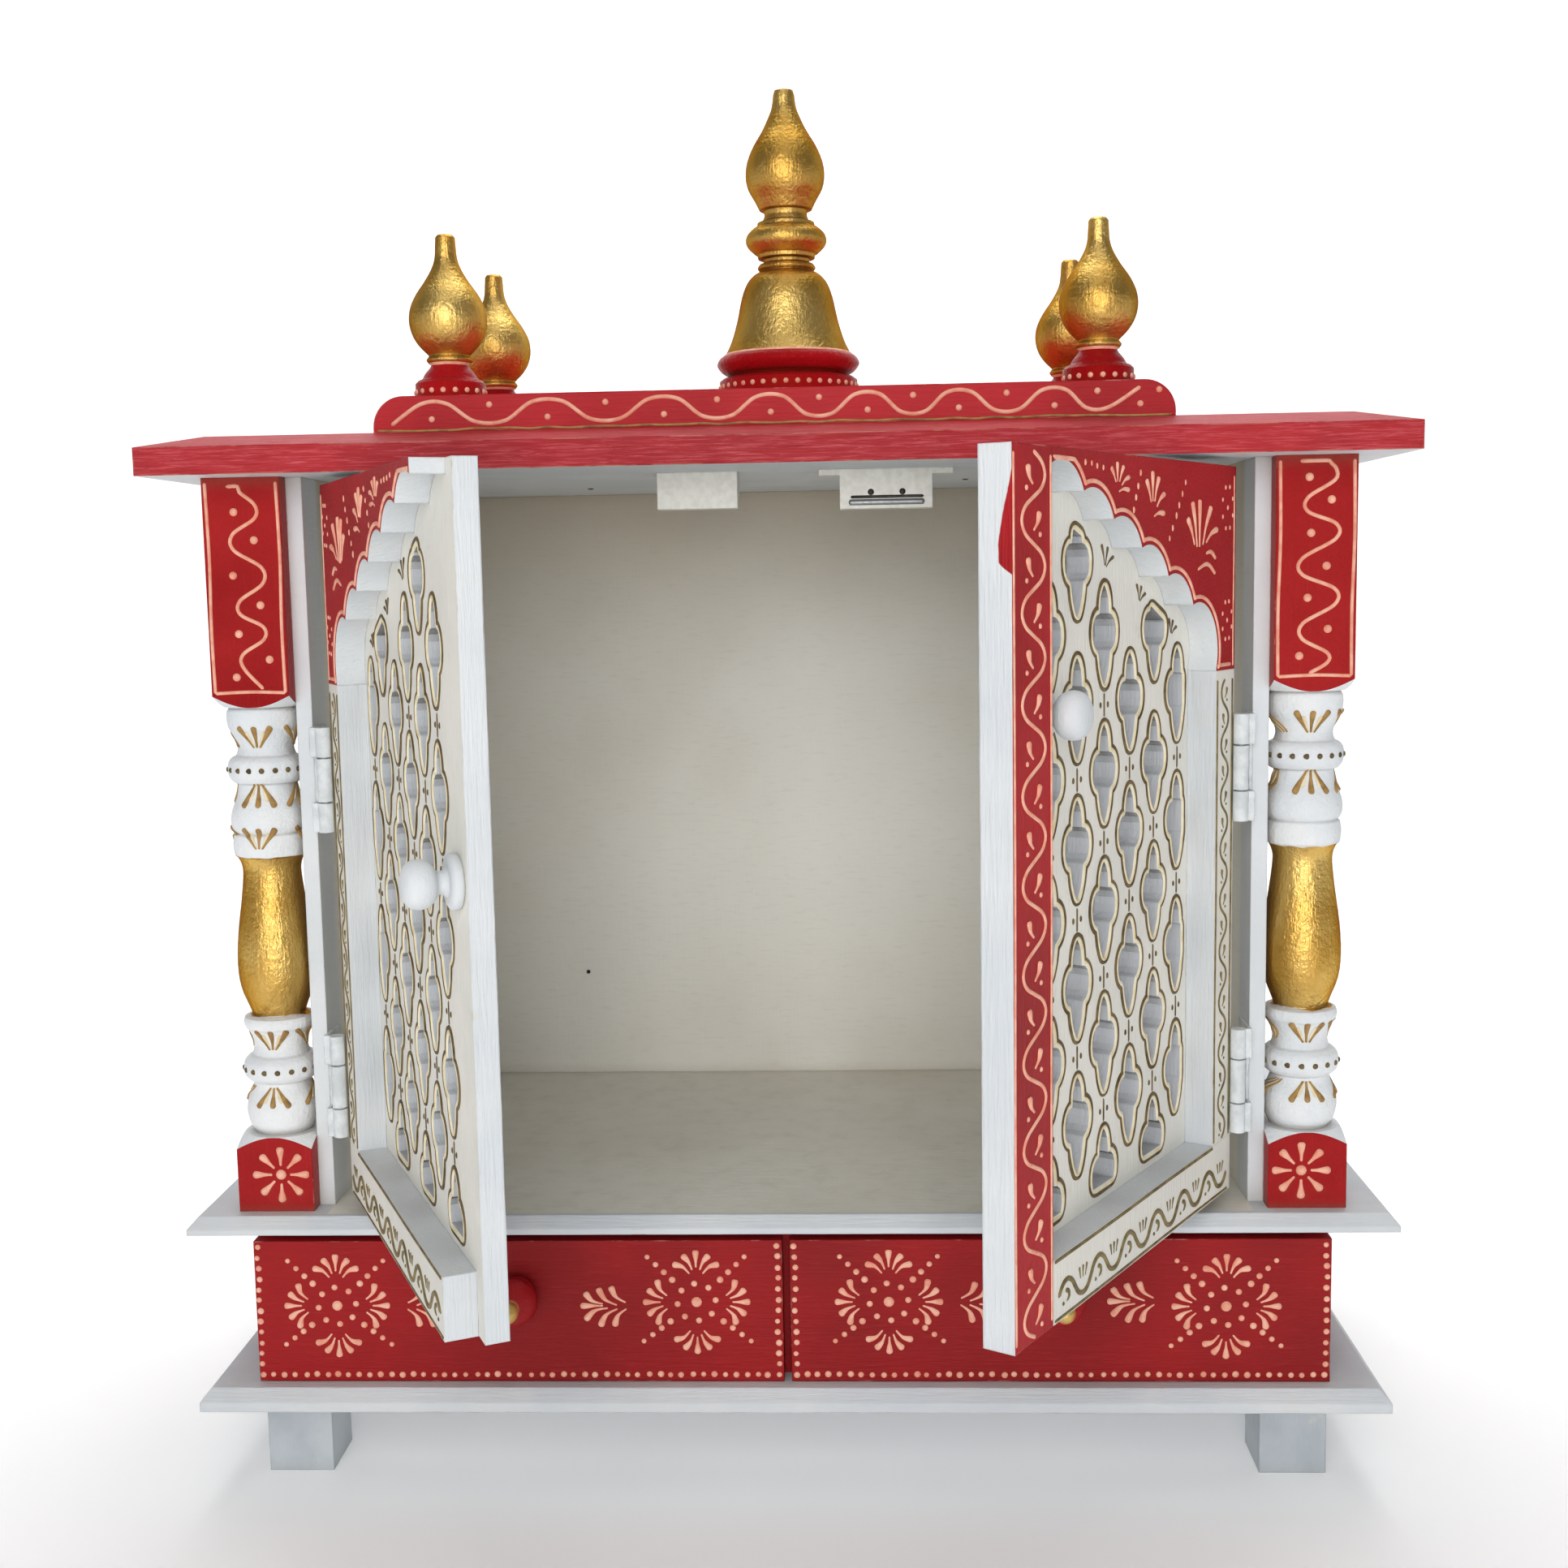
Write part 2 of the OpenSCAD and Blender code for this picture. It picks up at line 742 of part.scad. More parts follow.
// Turned door knob on the lattice panel
module door_knob(u, z) {
    translate([u, panel_v, z])
    rotate([90, 0, 0])
    turned(knob_shares, door_knob_l, door_knob_r);
}

module left_door_knob() {
    color("white")
    left_leaf()
    door_knob(left_free_u - knob_set, left_knob_z);
}

module right_door_knob() {
    color("white")
    right_leaf()
    door_knob(strip_in_u - knob_set, right_knob_z);
}

// Heights of the ends of the end knuckles
knuckle_h = knuckle_share * hinge_h;

// Fixed leaf of one hinge with its end knuckles and its pin, about the pin
module post_leaf() {
    union() {
        translate([-hinge_in, wall_set - hinge_set, 0])
        cube([hinge_t, hinge_d, hinge_h]);
        for (z = [0, hinge_h - knuckle_h])
            translate([0, 0, z])
            linear_extrude(knuckle_h)
            union() {
                circle(knuckle_r);
                translate([-hinge_in, -hinge_t / 2])
                square([hinge_in, hinge_t]);
                translate([-hinge_in, -hinge_t / 2])
                square([hinge_t, wall_set - hinge_set + hinge_t]);
            }
        cylinder(hinge_h, pin_r, pin_r);
    }
}

// Moving leaf of one hinge with its middle knuckle, about the pin
module door_leaf() {
    difference() {
        union() {
            translate([leaf_u - hinge_t, face_v, 0])
            cube([hinge_t, hinge_d, hinge_h]);
            translate([0, 0, knuckle_h + knuckle_gap])
            linear_extrude(hinge_h - 2 * (knuckle_h + knuckle_gap))
            union() {
                circle(knuckle_r);
                translate([leaf_u - hinge_t, 0])
                square([hinge_t, face_v + hinge_t]);
            }
        }
        translate([0, 0, -over])
        cylinder(hinge_h + 2 * over, pin_r + pin_clear, pin_r + pin_clear);
    }
}

// Both hinges of a door at their heights
module hinge_pair() {
    for (z = [hinge_low, hinge_high])
        translate([0, 0, z - hinge_h / 2])
        children();
}

module post_hinge_leaves() {
    color("gainsboro")
    union() {
        translate([-hinge_x, hinge_y, door_z])
        hinge_pair()
        post_leaf();
        translate([hinge_x, hinge_y, door_z])
        mirror([1, 0, 0])
        hinge_pair()
        post_leaf();
    }
}

module left_door_hinge_leaves() {
    color("gainsboro")
    left_leaf()
    hinge_pair()
    door_leaf();
}

module right_door_hinge_leaves() {
    color("gainsboro")
    right_leaf()
    hinge_pair()
    door_leaf();
}

// Drawer pieces on the right side
module tray_front() {
    translate([drawer_split / 2, drawer_y, case_z + run_gap])
    cube([drawer_l, drawer_front_t, drawer_h]);
}

module tray_sides() {
    for (x = [tray_in_x, tray_out_x - tray_t])
        translate([x, tray_y, case_z + run_gap])
        cube([tray_t, tray_d, tray_h]);
}

module tray_back() {
    translate([tray_in_x + tray_t, tray_y + tray_d - tray_t, case_z + run_gap])
    cube([tray_out_x - tray_in_x - 2 * tray_t, tray_t, tray_h]);
}

module tray_bottom() {
    translate([tray_in_x + tray_t, tray_y, case_z + run_gap])
    cube([tray_out_x - tray_in_x - 2 * tray_t, tray_d - tray_t, tray_bottom_t]);
}

module tray_knob() {
    translate([drawer_x, drawer_y, case_z + run_gap + drawer_h / 2 + drawer_knob_up])
    rotate([90, 0, 0])
    turned(drawer_knob_shares, drawer_knob_l, drawer_knob_r);
}

module left_side() {
    mirror([1, 0, 0])
    children();
}

module left_drawer_front() {
    color("firebrick")
    left_side()
    tray_front();
}

module left_drawer_sides() {
    color("burlywood")
    left_side()
    tray_sides();
}

module left_drawer_back() {
    color("burlywood")
    left_side()
    tray_back();
}

module left_drawer_bottom() {
    color("burlywood")
    left_side()
    tray_bottom();
}

module left_drawer_knob() {
    color("firebrick")
    left_side()
    tray_knob();
}

module right_drawer_front() {
    color("firebrick")
    tray_front();
}

module right_drawer_sides() {
    color("burlywood")
    tray_sides();
}

module right_drawer_back() {
    color("burlywood")
    tray_back();
}

module right_drawer_bottom() {
    color("burlywood")
    tray_bottom();
}

module right_drawer_knob() {
    color("firebrick")
    tray_knob();
}

front_feet();
back_feet();
base_board();
drawer_case_sides();
drawer_case_back();
drawer_divider();
altar_board();
left_wall();
right_wall();
back_wall();
left_column();
right_column();
roof_board();
roof_plinth();
central_finial();
front_finials();
back_finials();
left_catch();
right_catch();
post_hinge_leaves();
left_door_panel();
left_door_spandrel();
left_door_stile();
left_door_rail();
left_door_knob();
left_door_hinge_leaves();
right_door_panel();
right_door_spandrel();
right_door_stile();
right_door_rail();
right_door_strip();
right_door_knob();
right_door_hinge_leaves();
left_drawer_front();
left_drawer_sides();
left_drawer_back();
left_drawer_bottom();
left_drawer_knob();
right_drawer_front();
right_drawer_sides();
right_drawer_back();
right_drawer_bottom();
right_drawer_knob();
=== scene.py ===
import json
import math
import random

import bpy
from mathutils import Matrix, Vector


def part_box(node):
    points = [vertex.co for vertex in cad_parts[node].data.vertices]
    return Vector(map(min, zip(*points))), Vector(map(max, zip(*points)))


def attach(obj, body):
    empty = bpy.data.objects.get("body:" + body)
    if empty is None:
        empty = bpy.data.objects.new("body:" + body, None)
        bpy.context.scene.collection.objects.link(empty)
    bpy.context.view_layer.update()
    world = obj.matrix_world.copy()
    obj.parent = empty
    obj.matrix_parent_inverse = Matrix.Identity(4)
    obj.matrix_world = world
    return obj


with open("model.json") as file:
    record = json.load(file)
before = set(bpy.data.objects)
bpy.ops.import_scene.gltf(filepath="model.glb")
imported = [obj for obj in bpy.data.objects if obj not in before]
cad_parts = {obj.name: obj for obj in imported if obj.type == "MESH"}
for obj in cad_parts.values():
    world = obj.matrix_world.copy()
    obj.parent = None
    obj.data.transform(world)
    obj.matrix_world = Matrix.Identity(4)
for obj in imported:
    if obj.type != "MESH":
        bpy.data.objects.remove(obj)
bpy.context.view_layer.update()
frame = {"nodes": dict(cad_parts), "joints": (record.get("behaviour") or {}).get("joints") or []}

NODES = frame["nodes"]
RNG = random.Random(7)
MM = 0.001

X, Y, Z = range(3)
LOW, HIGH = range(2)


def limit(node, end, axis):
    """The low or high end of a node along an axis, in mm."""
    return round(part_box(node)[end][axis] / MM, 2)


def middle(node, axis):
    """The middle of a node along an axis, to a tenth of a mm."""
    return round((limit(node, LOW, axis) + limit(node, HIGH, axis)) / 2, 1)


# Doors at rest, in mm and radians: hinge pins, how far each is open, and their foot
JOINTS = {joint["name"]: joint for joint in frame["joints"]}
HINGE_X, HINGE_Y = (round(place / MM, 2) for place in JOINTS["right_door_hinge"]["pos_m"][:2])
LEFT_OPEN = -math.radians(JOINTS["left_door_hinge"]["range_deg"][LOW])
RIGHT_OPEN = -math.radians(JOINTS["right_door_hinge"]["range_deg"][LOW])
DOOR_Z = limit("left_door_panel", LOW, Z)
# How far behind the pins the fronts of a door's frame and of its lattice lie, in mm
FACE_V, PANEL_V = 4.5, 19.0
# Heights in mm where the turned part of a column and its gold vase start and end
TURNING_FOOT, TURNING_HEAD = 184.5, 405.5
VASE_FOOT, VASE_HEAD = 246.1, 329.1
# Heights in mm where the gold of the small finials and of the central one starts
SMALL_COLLAR, CENTRAL_COLLAR = 573.7, 581.6
# Beige paint on the altar board: its half width and its front edge, in mm
BEIGE_HALF, BEIGE_FRONT = 235.25, -133.5
# Inside of the walls, in mm: middle height where the painted shade under the roof rises, and y where the
# beige starts
ROOF_SHADE_Z, INSIDE_Y = 470, -95
# Where the gold tip of a drawer knob starts, in mm along y
KNOB_TIP = -158.2
# Lowest and highest place of the red that ran over the meeting strip's edge, in metres
RUN_LOW, RUN_HIGH = 0.463, 0.516


def rgb(r, g, b):
    """An sRGB colour of 0 to 255 as linear RGBA."""
    def linear(c):
        c = c / 255
        return c / 12.92 if c <= 0.04045 else ((c + 0.055) / 1.055) ** 2.4
    return (linear(r), linear(g), linear(b), 1.0)


RED, RED_DEEP, RED_DRY = rgb(176, 22, 30), rgb(152, 14, 21), rgb(200, 66, 70)
# Drawer reds: the red paint darkened, painted shade for the dimmer light low on the cabinet
DRAWER_RED_SHADED, DRAWER_DEEP_SHADED = rgb(156, 13, 18), rgb(136, 8, 13)
WHITE, WHITE_WARM, WHITE_COOL = rgb(224, 227, 229), rgb(220, 214, 199), rgb(214, 219, 223)
BEIGE, BEIGE_DARK = rgb(238, 235, 226), rgb(226, 221, 209)
GOLD, GOLD_LIGHT = rgb(205, 160, 78), rgb(229, 193, 114)
# Thin gold over brown, the tint of the gold's gloss, and the finials' dust and painted shade in the corners
GOLD_DARK, GOLD_RIM, GOLD_DIRT_AND_SHADE = rgb(146, 100, 44), rgb(134, 90, 38), rgb(96, 48, 20)
LATTICE, LATTICE_GREY = rgb(240, 238, 229), rgb(230, 229, 221)
# Painted shade and painted shadow in the lattice holes
HOLE_PAINTED_SHADE, HOLE_PAINTED_SHADOW = rgb(172, 174, 178), rgb(84, 80, 70)
BOARD, BOARD_COOL = rgb(214, 217, 219), rgb(204, 209, 214)
# Feet: the white paint darkened, painted shade under the base board
FOOT_SHADED, FOOT_COOL_SHADED = rgb(195, 201, 205), rgb(174, 181, 187)
# Plinth reds: the red paint lightened, painted light for the brighter light high on the cabinet
PLINTH_RED_LIT, PLINTH_DEEP_LIT = rgb(188, 34, 42), rgb(166, 22, 30)
ROOF_DRY, ROOF_DEEP, ROOF_WEAR = rgb(214, 96, 104), rgb(112, 12, 22), rgb(214, 160, 130)
# Column reds: the red paint a little darkened, painted shade for the light on the columns
COLUMN_RED_SHADED, COLUMN_DEEP_SHADED = rgb(168, 38, 41), rgb(148, 28, 32)
# Column whites: the white paint lightened, painted light for the light on the columns
COLUMN_WHITE_LIT, COLUMN_COOL_LIT = rgb(240, 242, 243), rgb(226, 231, 235)
# Worn paint of the columns, and the colour of their dust and painted shade in the corners
COLUMN_WEAR, COLUMN_DIRT_AND_SHADE = rgb(232, 196, 180), rgb(140, 122, 100)
# Stain of the inner floor, painted shade under the roof, and dust and painted shade in the inner corners
SHELF_STAIN, TOP_PAINTED_SHADE, INNER_DIRT_AND_SHADE = rgb(180, 172, 148), rgb(168, 148, 116), rgb(160, 148, 122)
HINGE_WHITE, HINGE_GREY, HINGE_BARE = rgb(226, 230, 232), rgb(205, 210, 212), rgb(150, 140, 125)
CATCH_WHITE, CATCH_GREY = rgb(234, 232, 222), rgb(222, 219, 208)
WOOD, WOOD_DARK = rgb(188, 150, 106), rgb(134, 94, 56)
# Pink wear, and the colours of dust and painted shade in red and white corners; the grey also tints the
# beige's streaks
PINK_WEAR, RED_DIRT_AND_SHADE, GREY_DIRT_AND_SHADE = rgb(226, 158, 148), rgb(140, 122, 112), rgb(150, 145, 132)


class Shader:
    """A node material, put together by short calls."""

    def __init__(self, name):
        self.mat = bpy.data.materials.new(name)
        self.mat.use_nodes = True
        self.tree = self.mat.node_tree
        self.tree.nodes.clear()
        self.place = self.add("ShaderNodeTexCoord")

    def add(self, kind, inputs=(), **props):
        """A node with its inputs linked to sockets or set to values."""
        node = self.tree.nodes.new(kind)
        for key, value in props.items():
            setattr(node, key, value)
        for key, value in dict(inputs).items():
            if isinstance(value, bpy.types.NodeSocket):
                self.tree.links.new(value, node.inputs[key])
            else:
                node.inputs[key].default_value = value
        return node

    def stretch(self, x, y, z):
        """Object coordinates, scaled by axis."""
        node = self.add("ShaderNodeMapping", {"Vector": self.place.outputs["Object"], "Scale": (x, y, z)})
        return node.outputs["Vector"]

    def noise(self, scale, detail=3.0, rough=0.55, vector=None, warp=0.0):
        node = self.add("ShaderNodeTexNoise", {
            "Vector": vector or self.place.outputs["Object"], "Scale": scale, "Detail": detail,
            "Roughness": rough, "Distortion": warp})
        return node.outputs["Fac"]

    def calc(self, operation, a, b=0.0, c=0.0):
        node = self.add("ShaderNodeMath", {0: a, 1: b, 2: c}, operation=operation)
        return node.outputs[0]

    def fade(self, value, low, high):
        """0 at low, 1 at high, smooth between; low may be the larger."""
        node = self.add("ShaderNodeMapRange", {
            "Value": value, "From Min": low, "From Max": high}, interpolation_type="SMOOTHSTEP")
        return node.outputs["Result"]

    def step(self, value, place, soft):
        """0 below a place in mm and 1 above it, soft by that many mm; a negative soft swaps the two."""
        return self.fade(value, (place - soft) * MM, (place + soft) * MM)

    def mix(self, share, a, b):
        node = self.add("ShaderNodeMix", {0: share, 6: a, 7: b}, data_type="RGBA")
        return node.outputs[2]

    def along(self, direction, source="Object"):
        """Distance along a direction, or how far the face looks that way."""
        node = self.add("ShaderNodeVectorMath", {
            0: self.place.outputs[source], 1: direction}, operation="DOT_PRODUCT")
        return node.outputs["Value"]

    def facing(self, direction):
        """1 on faces that look along a direction of the object."""
        return self.fade(self.along(direction, "Normal"), 0.75, 0.9)

    def edges(self, radius):
        """(rounded normal, 0 to 1 near a sharp edge)."""
        bevel = self.add("ShaderNodeBevel", {"Radius": radius}, samples=6)
        sharp = self.add("ShaderNodeNewGeometry")
        dot = self.add("ShaderNodeVectorMath", {
            0: bevel.outputs["Normal"], 1: sharp.outputs["Normal"]}, operation="DOT_PRODUCT")
        return bevel.outputs["Normal"], self.fade(dot.outputs["Value"], 0.99, 0.8)

    def finish(self, colour, rough, height, depth, normal=None, metal=0.0, gloss=0.25, glow=0.0,
               tint=(1.0, 1.0, 1.0, 1.0)):
        """Ends the material: one skin, with a bump of that depth from height."""
        inputs = {"Height": height, "Strength": 1.0, "Distance": depth}
        if normal is not None:
            inputs["Normal"] = normal
        bump = self.add("ShaderNodeBump", inputs)
        skin = self.add("ShaderNodeBsdfPrincipled", {
            "Base Color": colour, "Roughness": rough, "Metallic": metal, "Specular IOR Level": gloss,
            "Specular Tint": tint, "Emission Color": (1.0, 1.0, 1.0, 1.0), "Emission Strength": glow,
            "Normal": bump.outputs["Normal"]})
        self.add("ShaderNodeOutputMaterial", {"Surface": skin.outputs[0]})
        return self.mat


BRUSH = {"x": (6, 90, 90), "y": (90, 6, 90), "z": (90, 90, 6)}


def red_of(s, along, main=RED, deep=RED_DEEP):
    """Brushed red paint: its colour, and its brush marks along an axis."""
    marks = s.noise(9.0, 4.0, 0.6, s.stretch(*BRUSH[along]), 0.4)
    colour = s.mix(s.fade(s.noise(11.0), 0.35, 0.7), main, deep)
    return s.mix(s.calc("MULTIPLY", s.fade(marks, 0.55, 0.8), 0.22), colour, RED_DRY), marks


def white_of(s, along, main=WHITE, grey=WHITE_COOL):
    """Brushed off-white paint, a little yellowed and stained."""
    marks = s.noise(9.0, 4.0, 0.6, s.stretch(*BRUSH[along]), 0.3)
    colour = s.mix(s.fade(s.noise(14.0, 4.0, 0.6), 0.35, 0.65), main, grey)
    colour = s.mix(s.calc("MULTIPLY", s.fade(marks, 0.6, 0.8), 0.25), colour, WHITE_WARM)
    stain = s.calc("MULTIPLY", s.fade(s.noise(42.0, 5.0, 0.7), 0.6, 0.76), 0.55)
    return s.mix(stain, colour, WHITE_WARM), marks


def beige_of(s):
    """Thin beige paint of the inside, with faint streaks and cloudy patches."""
    streak = s.noise(7.0, 5.0, 0.6, s.stretch(12, 12, 70), 0.2)
    colour = s.mix(s.fade(s.noise(5.0, 3.0), 0.35, 0.7), BEIGE, BEIGE_DARK)
    return s.mix(s.calc("MULTIPLY", s.fade(streak, 0.5, 0.75), 0.1), colour, GREY_DIRT_AND_SHADE), streak


def gold_of(s):
    """Gold paint with a crackled skin, rubbed thin over brown in places."""
    skin = s.noise(420.0, 2.0, 0.6)
    colour = s.mix(s.fade(s.noise(24.0), 0.35, 0.65), GOLD, GOLD_LIGHT)
    thin = s.calc("MULTIPLY", s.fade(s.noise(75.0, 5.0, 0.7), 0.58, 0.72), 0.5)
    return s.mix(thin, colour, GOLD_DARK), skin


def worn(s, colour, edge, under, share):
    """Paint rubbed off along the edges, in patches."""
    patch = s.noise(38.0, 5.0, 0.65)
    return s.mix(s.calc("MULTIPLY", edge, s.fade(patch, 0.62 - share, 0.74 - share)), colour, under)


def corner_dust_and_shade(s, colour, dirt_and_shade, share):
    """Dust and painted shade: darker in the corners, by ambient occlusion."""
    node = s.add("ShaderNodeAmbientOcclusion", {"Distance": 0.016}, samples=4)
    return s.mix(s.calc("MULTIPLY", s.fade(node.outputs["AO"], 0.75, 0.3), share), colour, dirt_and_shade)


def red_board(name, along, main=RED, deep=RED_DEEP):
    """Red board, worn to pink along its edges."""
    s = Shader(name)
    colour, marks = red_of(s, along, main, deep)
    normal, edge = s.edges(0.0012)
    colour = worn(s, colour, edge, PINK_WEAR, 0.1)
    return s.finish(colour, s.calc("MULTIPLY_ADD", marks, 0.25, 0.42), marks, 0.0004, normal)


def white_board(name, along, main=WHITE, grey=WHITE_COOL):
    """White board, worn to the wood along its edges, with dust and painted shade in its corners."""
    s = Shader(name)
    colour, marks = white_of(s, along, main, grey)
    normal, edge = s.edges(0.0012)
    # Dust and painted shade in the corners
    colour = corner_dust_and_shade(s, worn(s, colour, edge, WOOD, 0.05), GREY_DIRT_AND_SHADE, 0.35)
    return s.finish(colour, s.calc("MULTIPLY_ADD", marks, 0.2, 0.45), marks, 0.0004, normal)


def altar_paint(name):
    """White shelf, beige inside the shrine."""
    s = Shader(name)
    white, marks = white_of(s, "x", BOARD, BOARD_COOL)
    beige, streak = beige_of(s)
    beige = s.mix(s.calc("MULTIPLY", streak, 0.25), beige, SHELF_STAIN)
    within = s.step(s.calc("ABSOLUTE", s.along((1, 0, 0))), BEIGE_HALF, -0.75)
    inner = s.calc("MULTIPLY", within, s.step(s.along((0, 1, 0)), BEIGE_FRONT, 1.0))
    normal, edge = s.edges(0.0012)
    colour = s.mix(s.calc("MULTIPLY", inner, s.facing((0, 0, 1))), white, beige)
    # Dust and painted shade in the corners
    colour = corner_dust_and_shade(s, worn(s, colour, edge, WOOD, 0.05), GREY_DIRT_AND_SHADE, 0.35)
    return s.finish(colour, s.calc("MULTIPLY_ADD", marks, 0.2, 0.45), marks, 0.0004, normal)


def door_paint(name, out, share):
    """Cream in front, white on the edges; share is how much painted shade the holes' walls get, with a
    painted shadow on the walls that face down.
    """
    s = Shader(name)
    white, marks = white_of(s, "z")
    cream, grain = white_of(s, "z", LATTICE, LATTICE_GREY)
    normal, edge = s.edges(0.0012)
    colour = worn(s, s.mix(s.facing(out), white, cream), edge, WOOD, 0.05)
    # Painted shade in the holes: greyer where ambient occlusion is strong on walls that do not face out, with
    # a dark painted shadow on the walls that face down
    shade = s.add("ShaderNodeAmbientOcclusion", {"Distance": 0.03}, samples=4)
    wall = s.fade(s.calc("ABSOLUTE", s.along(out, "Normal")), 0.7, 0.4)
    hole_shade = s.calc("MULTIPLY", s.calc("MULTIPLY", s.fade(shade.outputs["AO"], 0.95, 0.6), wall), share)
    under = s.fade(s.along((0, 0, 1), "Normal"), -0.1, -0.7)
    colour = s.mix(s.calc("MULTIPLY", hole_shade, under), s.mix(hole_shade, colour, HOLE_PAINTED_SHADE), HOLE_PAINTED_SHADOW)
    rough = s.calc("MULTIPLY_ADD", marks, 0.2, 0.45)
    return s.finish(colour, rough, s.calc("ADD", marks, grain), 0.0003, normal)


def two_tone(name, front, along, slop=None):
    """Red on the faces that look along front, white on the others.

    slop says where red ran over the edge: the front's own distance, the lowest and the highest place.
    """
    s = Shader(name)
    red, marks = red_of(s, along)
    white, grain = white_of(s, along)
    normal, edge = s.edges(0.0012)
    share = s.facing(front)
    if slop is not None:
        start, low, high = slop
        deepest = 0.0068
        height = s.along((0, 0, 1))
        depth = s.calc("MULTIPLY_ADD", s.noise(90.0), 0.0015, s.calc("SUBTRACT", start, s.along(front)))
        reach = s.calc("MULTIPLY", s.fade(height, low, low + 0.007), s.fade(height, high, low + 0.01))
        over = s.calc("SUBTRACT", s.calc("MULTIPLY", reach, deepest), depth)
        share = s.calc("MAXIMUM", share, s.fade(over, 0.0, 0.0006))
    colour = s.mix(share, white, red)
    # Dust and painted shade in the corners
    colour = corner_dust_and_shade(s, worn(s, colour, edge, PINK_WEAR, 0.06), RED_DIRT_AND_SHADE, 0.15)
    rough = s.calc("MULTIPLY_ADD", marks, 0.25, 0.42)
    return s.finish(colour, rough, s.calc("ADD", marks, grain), 0.0003, normal)


def inside_out(name, inward):
    """White outside, beige on the faces that look inward, with painted shade under the roof, and dust and
    painted shade in the corners.
    """
    s = Shader(name)
    white, marks = white_of(s, "z")
    beige, streak = beige_of(s)
    # Painted shade of the roof: the beige turns browner towards the top
    high = s.step(s.along((0, 0, 1)), ROOF_SHADE_Z, 70)
    beige = s.mix(s.calc("MULTIPLY", high, 0.6), beige, TOP_PAINTED_SHADE)
    normal, edge = s.edges(0.0012)
    inner = s.calc("MULTIPLY", s.facing(inward), s.step(s.along((0, 1, 0)), INSIDE_Y, 5))
    colour = s.mix(inner, white, beige)
    # Dust and painted shade in the corners
    colour = corner_dust_and_shade(s, worn(s, colour, edge, WOOD, 0.04), INNER_DIRT_AND_SHADE, 0.4)
    rough = s.calc("MULTIPLY_ADD", marks, 0.2, 0.5)
    return s.finish(colour, rough, s.calc("ADD", marks, streak), 0.0002, normal)


def column_paint(name):
    """Red blocks with white shoulders, white turnings and a gold vase."""
    s = Shader(name)
    # Darker copy of the red and lighter copy of the white: painted shade and painted light
    red, marks = red_of(s, "z", COLUMN_RED_SHADED, COLUMN_DEEP_SHADED)
    white, grain = white_of(s, "z", COLUMN_WHITE_LIT, COLUMN_COOL_LIT)
    gold, fine = gold_of(s)
    height = s.along((0, 0, 1))
    shaky = s.calc("ADD", height, s.calc("MULTIPLY_ADD", s.noise(60.0, 2.0), 0.005, -0.0025))
    vase = s.calc("MULTIPLY", s.step(shaky, VASE_FOOT, 0.3), s.step(shaky, VASE_HEAD, -0.3))
    low_block, high_block = s.step(height, TURNING_FOOT - 0.1, -0.1), s.step(height, TURNING_HEAD + 0.1, 0.1)
    blocks = s.calc("MAXIMUM", low_block, high_block)
    upright = s.fade(s.calc("ABSOLUTE", s.along((0, 0, 1), "Normal")), 0.3, 0.2)
    colour = s.mix(vase, white, gold)
    colour = s.mix(s.calc("MULTIPLY", blocks, upright), colour, red)
    normal, edge = s.edges(0.001)
    # Dust and painted shade in the corners
    colour = corner_dust_and_shade(s, worn(s, colour, edge, COLUMN_WEAR, 0.04), COLUMN_DIRT_AND_SHADE, 0.4)
    rough = s.calc("MULTIPLY_ADD", vase, -0.14, s.calc("MULTIPLY_ADD", marks, 0.2, 0.38))
    return s.finish(colour, rough, s.calc("MULTIPLY_ADD", fine, 2.0, grain), 0.0003, normal,
                    s.calc("MULTIPLY", vase, 0.95), tint=GOLD_RIM)


def finial_paint(name, collar):
    """Red foot and gold above the collar height in mm."""
    s = Shader(name)
    red, marks = red_of(s, "z")
    gold, fine = gold_of(s)
    shaky = s.calc("ADD", s.along((0, 0, 1)), s.calc("MULTIPLY_ADD", s.noise(70.0, 2.0), 0.002, -0.001))
    top = s.step(shaky, collar, 0.3)
    normal = s.edges(0.0008)[0]
    # Dust and painted shade in the corners
    colour = corner_dust_and_shade(s, s.mix(top, red, gold), GOLD_DIRT_AND_SHADE, 0.45)
    rough = s.calc("MULTIPLY_ADD", fine, 0.15, 0.28)
    return s.finish(colour, rough, s.calc("MULTIPLY_ADD", fine, 1.5, marks), 0.0003, normal,
                    s.calc("MULTIPLY", top, 0.95), tint=GOLD_RIM)


def drawer_knob_paint(name):
    """Red knob with a gold tip."""
    s = Shader(name)
    red, marks = red_of(s, "y")
    gold = gold_of(s)[0]
    tip = s.step(s.along((0, 1, 0)), KNOB_TIP, -0.4)
    normal = s.edges(0.0008)[0]
    return s.finish(s.mix(tip, red, gold), s.calc("MULTIPLY_ADD", marks, 0.2, 0.3), marks, 0.0003, normal,
                    s.calc("MULTIPLY", tip, 0.7))


